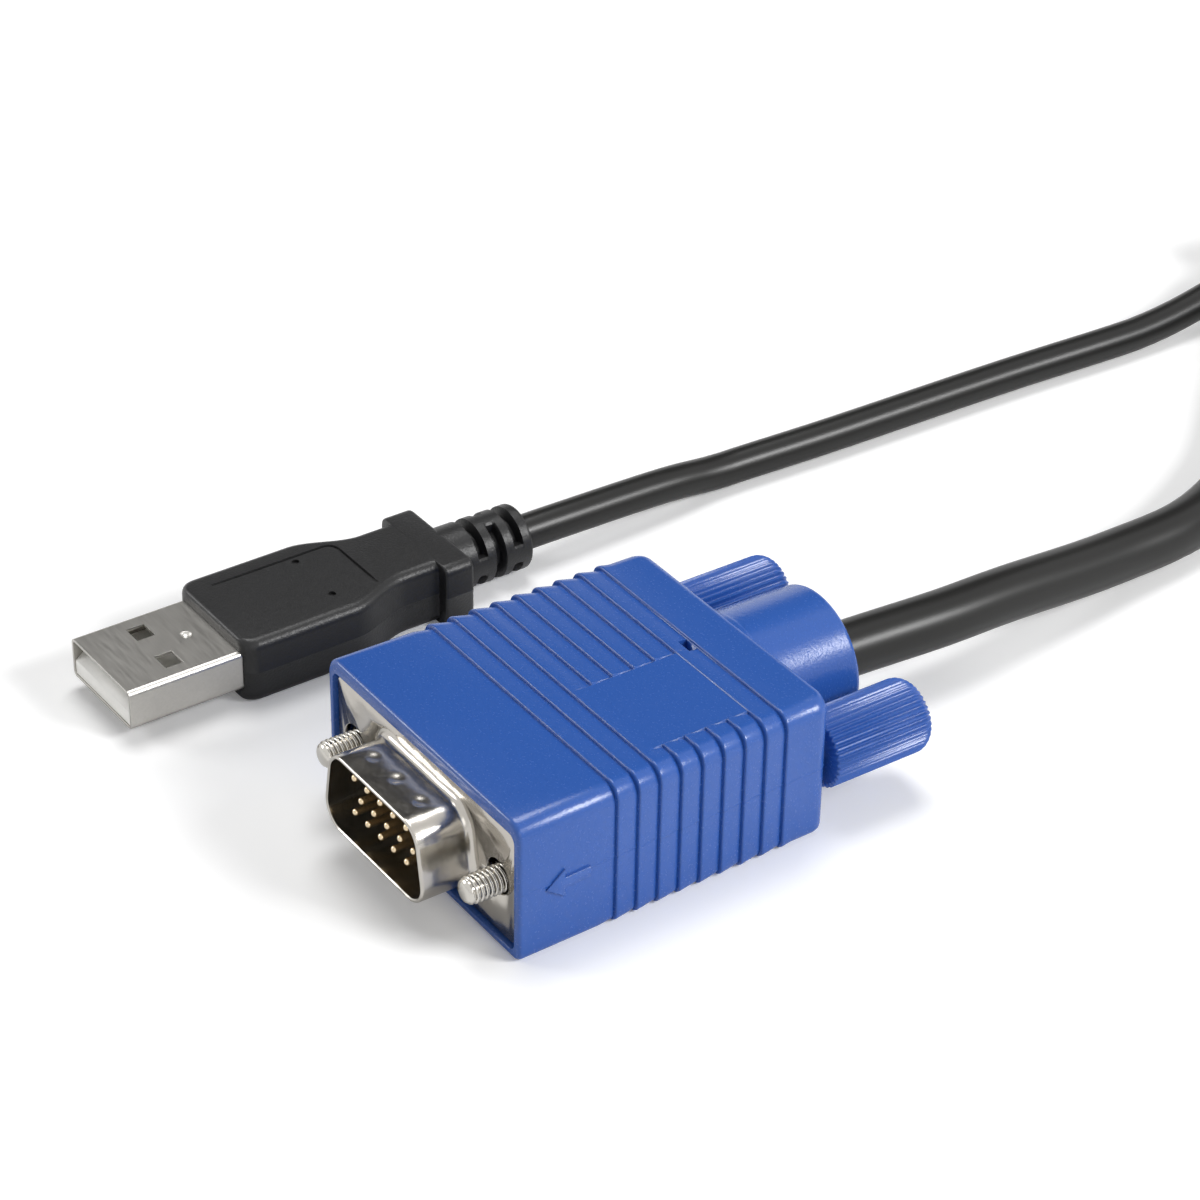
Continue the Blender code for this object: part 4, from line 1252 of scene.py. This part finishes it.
coilLook = {
    "radius": 32.65 * mm,  # middle of the bundle
    "turnDeg": 320.0,  # each turn keeps its place in the bundle for this angle
    "changeDeg": 36.0,  # and moves to the next place over this one
    "stepDeg": 6.0,
    "lastStepDeg": 8.0,
    "startDeg": 180.0,
    "totalDeg": 6 * 360.0 + 90.0,
    "riseDeg": 50.0,  # the end climbs out of the bundle over this angle
    "rise": 9.0 * mm,
}


def trunkPoints():
    c, d = coilLook, cordLook["trunk"]
    up = d * math.sqrt(3) / 2
    # places of the seven turns in the bundle: out from the middle, and up from it
    places = [(d / 2, -up), (-d / 2, -up), (-d, 0.0), (0.0, 0.0), (d, 0.0), (d / 2, up), (-d / 2, up)]
    start, total = c["startDeg"], c["totalDeg"]
    points = [
        Vector((yokeX, yokeHigh.y - 1 * mm, yokeMid)),
        Vector((yokeX, yokeHigh.y + 8 * mm, yokeMid)),
    ]
    angle = 0.0
    points.append(Vector((coilCentre.x - c["radius"] - d / 2, coilCentre.y - 8 * mm, coilCentre.z - up)))
    while angle <= total:
        place = places[0]
        for number in range(1, len(places)):
            change = number * c["turnDeg"]
            t = smoothStep(change - c["changeDeg"] / 2, change + c["changeDeg"] / 2, angle)
            here = places[number]
            place = (place[0] + (here[0] - place[0]) * t, place[1] + (here[1] - place[1]) * t)
        a = math.radians(start - angle)
        leaving = smoothStep(total - c["riseDeg"], total, angle)
        r = c["radius"] + place[0] + leaving * d / 2
        points.append(coilCentre + Vector((r * math.cos(a), r * math.sin(a), place[1] + leaving * c["rise"])))
        angle += c["stepDeg"] if angle < total - 60 else c["lastStepDeg"]
    bossHeight = farOrigin.z + cordHeight
    farBoss = farOrigin + Vector((0.0, bossEnd, 0.0))
    points += [
        Vector((coilCentre.x + 12.5 * mm, coilCentre.y + 29.5 * mm, bossHeight - 2.6 * mm)),
        Vector((coilCentre.x + 21.2 * mm, coilCentre.y + 20.5 * mm, bossHeight - 1.0 * mm)),
        Vector((farBoss.x, farBoss.y + 4 * mm, bossHeight)),
        Vector((farBoss.x, farBoss.y - 1 * mm, bossHeight)),
    ]
    return smoothRoute(points, d / 2)


print("scene: cords")
usbPoints = smoothRoute(usbRoute, cordLook["usb"] / 2)
usbCord = makeCord("usbCord", usbPoints, cordLook["usb"])
vgaPoints = smoothRoute(vgaRoute, cordLook["vga"] / 2)
vgaCord = makeCord("vgaCord", vgaPoints, cordLook["vga"])
trunk = trunkPoints()
trunkCord = makeCord("trunkCord", trunk, cordLook["trunk"])
place(usbCord, "cable", "cord_jacket", "usb_lead")
place(vgaCord, "cable", "cord_jacket", "vga_lead")
place(trunkCord, "cable", "cord_jacket", "trunk_lead", "trunk_coil", "trunk_tail")

# Stage, light and camera
lightLook = {
    "world": 0.2,
    "floor": 0.98,
    "floorLift": 0.1,  # added to the floor near the object, so that faint shadows go white
    "floorNear": 0.35,  # metres from the origin, where the white begins
    "floorFar": 0.6,
    "card": 0.10,  # a dark card that the level faces mirror
    "floorHalf": 3.0,
    "roughness": 0.9,  # of the floor and the card
    "cardTowards": (-0.67, 0.41, 0.61),
    "cardDistance": 2.4,
    "cardHalf": (1.3, 0.85),
}
lampLook = {  # direction from the plugs, metres, metres, watts
    "overhead": ((-0.3, 0.2, 1.0), 1.5, (0.7, 0.7), 11.0),  # soft, a little behind
    "rear": ((0.66, 0.5, 0.55), 0.8, (0.3, 0.2), 4.6),  # draws the highlight along the right edges
    "right": ((0.85, -0.35, 0.4), 0.9, (0.5, 0.4), 0.7),
    "front": ((-0.67, -0.6, 0.4), 0.9, (0.3, 0.22), 2.0),  # draws the light lines on the grip steps
}
aim = fromPlug(-8, 25, 5)
cameraLook = {
    "place": (227.43, -139.26, 206.29),  # millimetres from the hood's front middle
    "yawDeg": 55.01,
    "pitchDeg": -33.37,
    "rollDeg": 1.01,
    "lens": 106.97,
}


def greyMaterial(name, grey):
    material = bpy.data.materials.new(name)
    material.use_nodes = True
    shader = material.node_tree.nodes["Principled BSDF"]
    shader.inputs["Base Color"].default_value = (grey, grey, grey, 1.0)
    shader.inputs["Roughness"].default_value = lightLook["roughness"]
    return material, material.node_tree, shader


def makeStage():
    floor = bmesh.new()
    bmesh.ops.create_grid(floor, x_segments=1, y_segments=1, size=lightLook["floorHalf"])
    material, tree, shader = greyMaterial("floorLook", lightLook["floor"])
    shader.inputs["Specular IOR Level"].default_value = 0.0
    # far from the object the floor is plain white to the camera, where the lamps fall off
    link = tree.links.new
    where = tree.nodes.new("ShaderNodeTexCoord")
    away = tree.nodes.new("ShaderNodeVectorMath")
    away.operation = "LENGTH"
    fade = tree.nodes.new("ShaderNodeMapRange")
    fade.inputs["From Min"].default_value = lightLook["floorNear"]
    fade.inputs["From Max"].default_value = lightLook["floorFar"]
    fade.inputs["To Min"].default_value = lightLook["floorLift"]
    rays = tree.nodes.new("ShaderNodeLightPath")
    seen = addMath(tree, "MULTIPLY")
    link(where.outputs["Object"], away.inputs[0])
    link(away.outputs["Value"], fade.inputs["Value"])
    link(fade.outputs["Result"], seen.inputs[0])
    link(rays.outputs["Is Camera Ray"], seen.inputs[1])
    link(seen.outputs[0], shader.inputs["Emission Strength"])
    shader.inputs["Emission Color"].default_value = (1.0, 1.0, 1.0, 1.0)
    made = makeObject("floor", floor, material)
    made.location.z = -0.02 * mm


def makeCard():
    bm = bmesh.new()
    bmesh.ops.create_grid(bm, x_segments=1, y_segments=1, size=1.0)
    bmesh.ops.scale(bm, vec=(*lightLook["cardHalf"], 1.0), verts=bm.verts)
    card = makeObject("greyCard", bm, greyMaterial("cardLook", lightLook["card"])[0])
    faceAim(card, lightLook["cardTowards"], lightLook["cardDistance"])


def makeWorld():
    world = bpy.data.worlds.new("studio")
    bpy.context.scene.world = world
    world.use_nodes = True
    tree = world.node_tree
    background = tree.nodes["Background"]
    rays = tree.nodes.new("ShaderNodeLightPath")
    mix = tree.nodes.new("ShaderNodeMix")
    mix.data_type = "RGBA"
    grey = lightLook["world"]
    mix.inputs["A"].default_value = (grey, grey, grey, 1.0)
    mix.inputs["B"].default_value = (1.0, 1.0, 1.0, 1.0)
    cameraOrGloss = addMath(tree, "MAXIMUM")
    seen = addMath(tree, "MAXIMUM")
    link = tree.links.new
    link(rays.outputs["Is Camera Ray"], cameraOrGloss.inputs[0])
    link(rays.outputs["Is Glossy Ray"], cameraOrGloss.inputs[1])
    link(cameraOrGloss.outputs[0], seen.inputs[0])
    link(rays.outputs["Is Transmission Ray"], seen.inputs[1])
    link(seen.outputs[0], mix.inputs["Factor"])
    link(mix.outputs["Result"], background.inputs["Color"])


def faceAim(thing, direction, distance):
    towards = Vector(direction).normalized()
    thing.location = aim + towards * distance
    thing.rotation_euler = towards.to_track_quat("Z", "Y").to_euler()


def makeAreaLight(name, direction, distance, size, watts):
    light = bpy.data.lights.new(name, "AREA")
    light.shape = "RECTANGLE"
    light.size, light.size_y = size
    light.energy = watts
    lamp = bpy.data.objects.new(name, light)
    bpy.context.collection.objects.link(lamp)
    faceAim(lamp, direction, distance)


def makeCamera():
    c = cameraLook
    yaw, pitch, roll = (math.radians(c[k]) for k in ("yawDeg", "pitchDeg", "rollDeg"))
    ahead = Vector((-math.sin(yaw) * math.cos(pitch), math.cos(yaw) * math.cos(pitch), math.sin(pitch)))
    right = ahead.cross(Vector((0, 0, 1))).normalized()
    up = right.cross(ahead)
    turnedRight = math.cos(roll) * right + math.sin(roll) * up
    turnedUp = -math.sin(roll) * right + math.cos(roll) * up
    data = bpy.data.cameras.new("camera")
    data.lens = c["lens"]
    data.sensor_width = 36.0
    data.clip_start = 0.01
    data.clip_end = 20.0
    camera = bpy.data.objects.new("camera", data)
    bpy.context.collection.objects.link(camera)
    axes = Matrix((turnedRight, turnedUp, -ahead)).transposed()
    camera.matrix_world = Matrix.Translation(fromPlug(*c["place"])) @ axes.to_4x4()
    bpy.context.scene.camera = camera


print("scene: stage, lights and camera")
makeStage()
makeWorld()
makeCard()
for lampName, lampValues in lampLook.items():
    makeAreaLight(lampName, *lampValues)
makeCamera()
bpy.context.scene.view_settings.view_transform = "Standard"

bpy.context.view_layer.update()
print("scene: done")
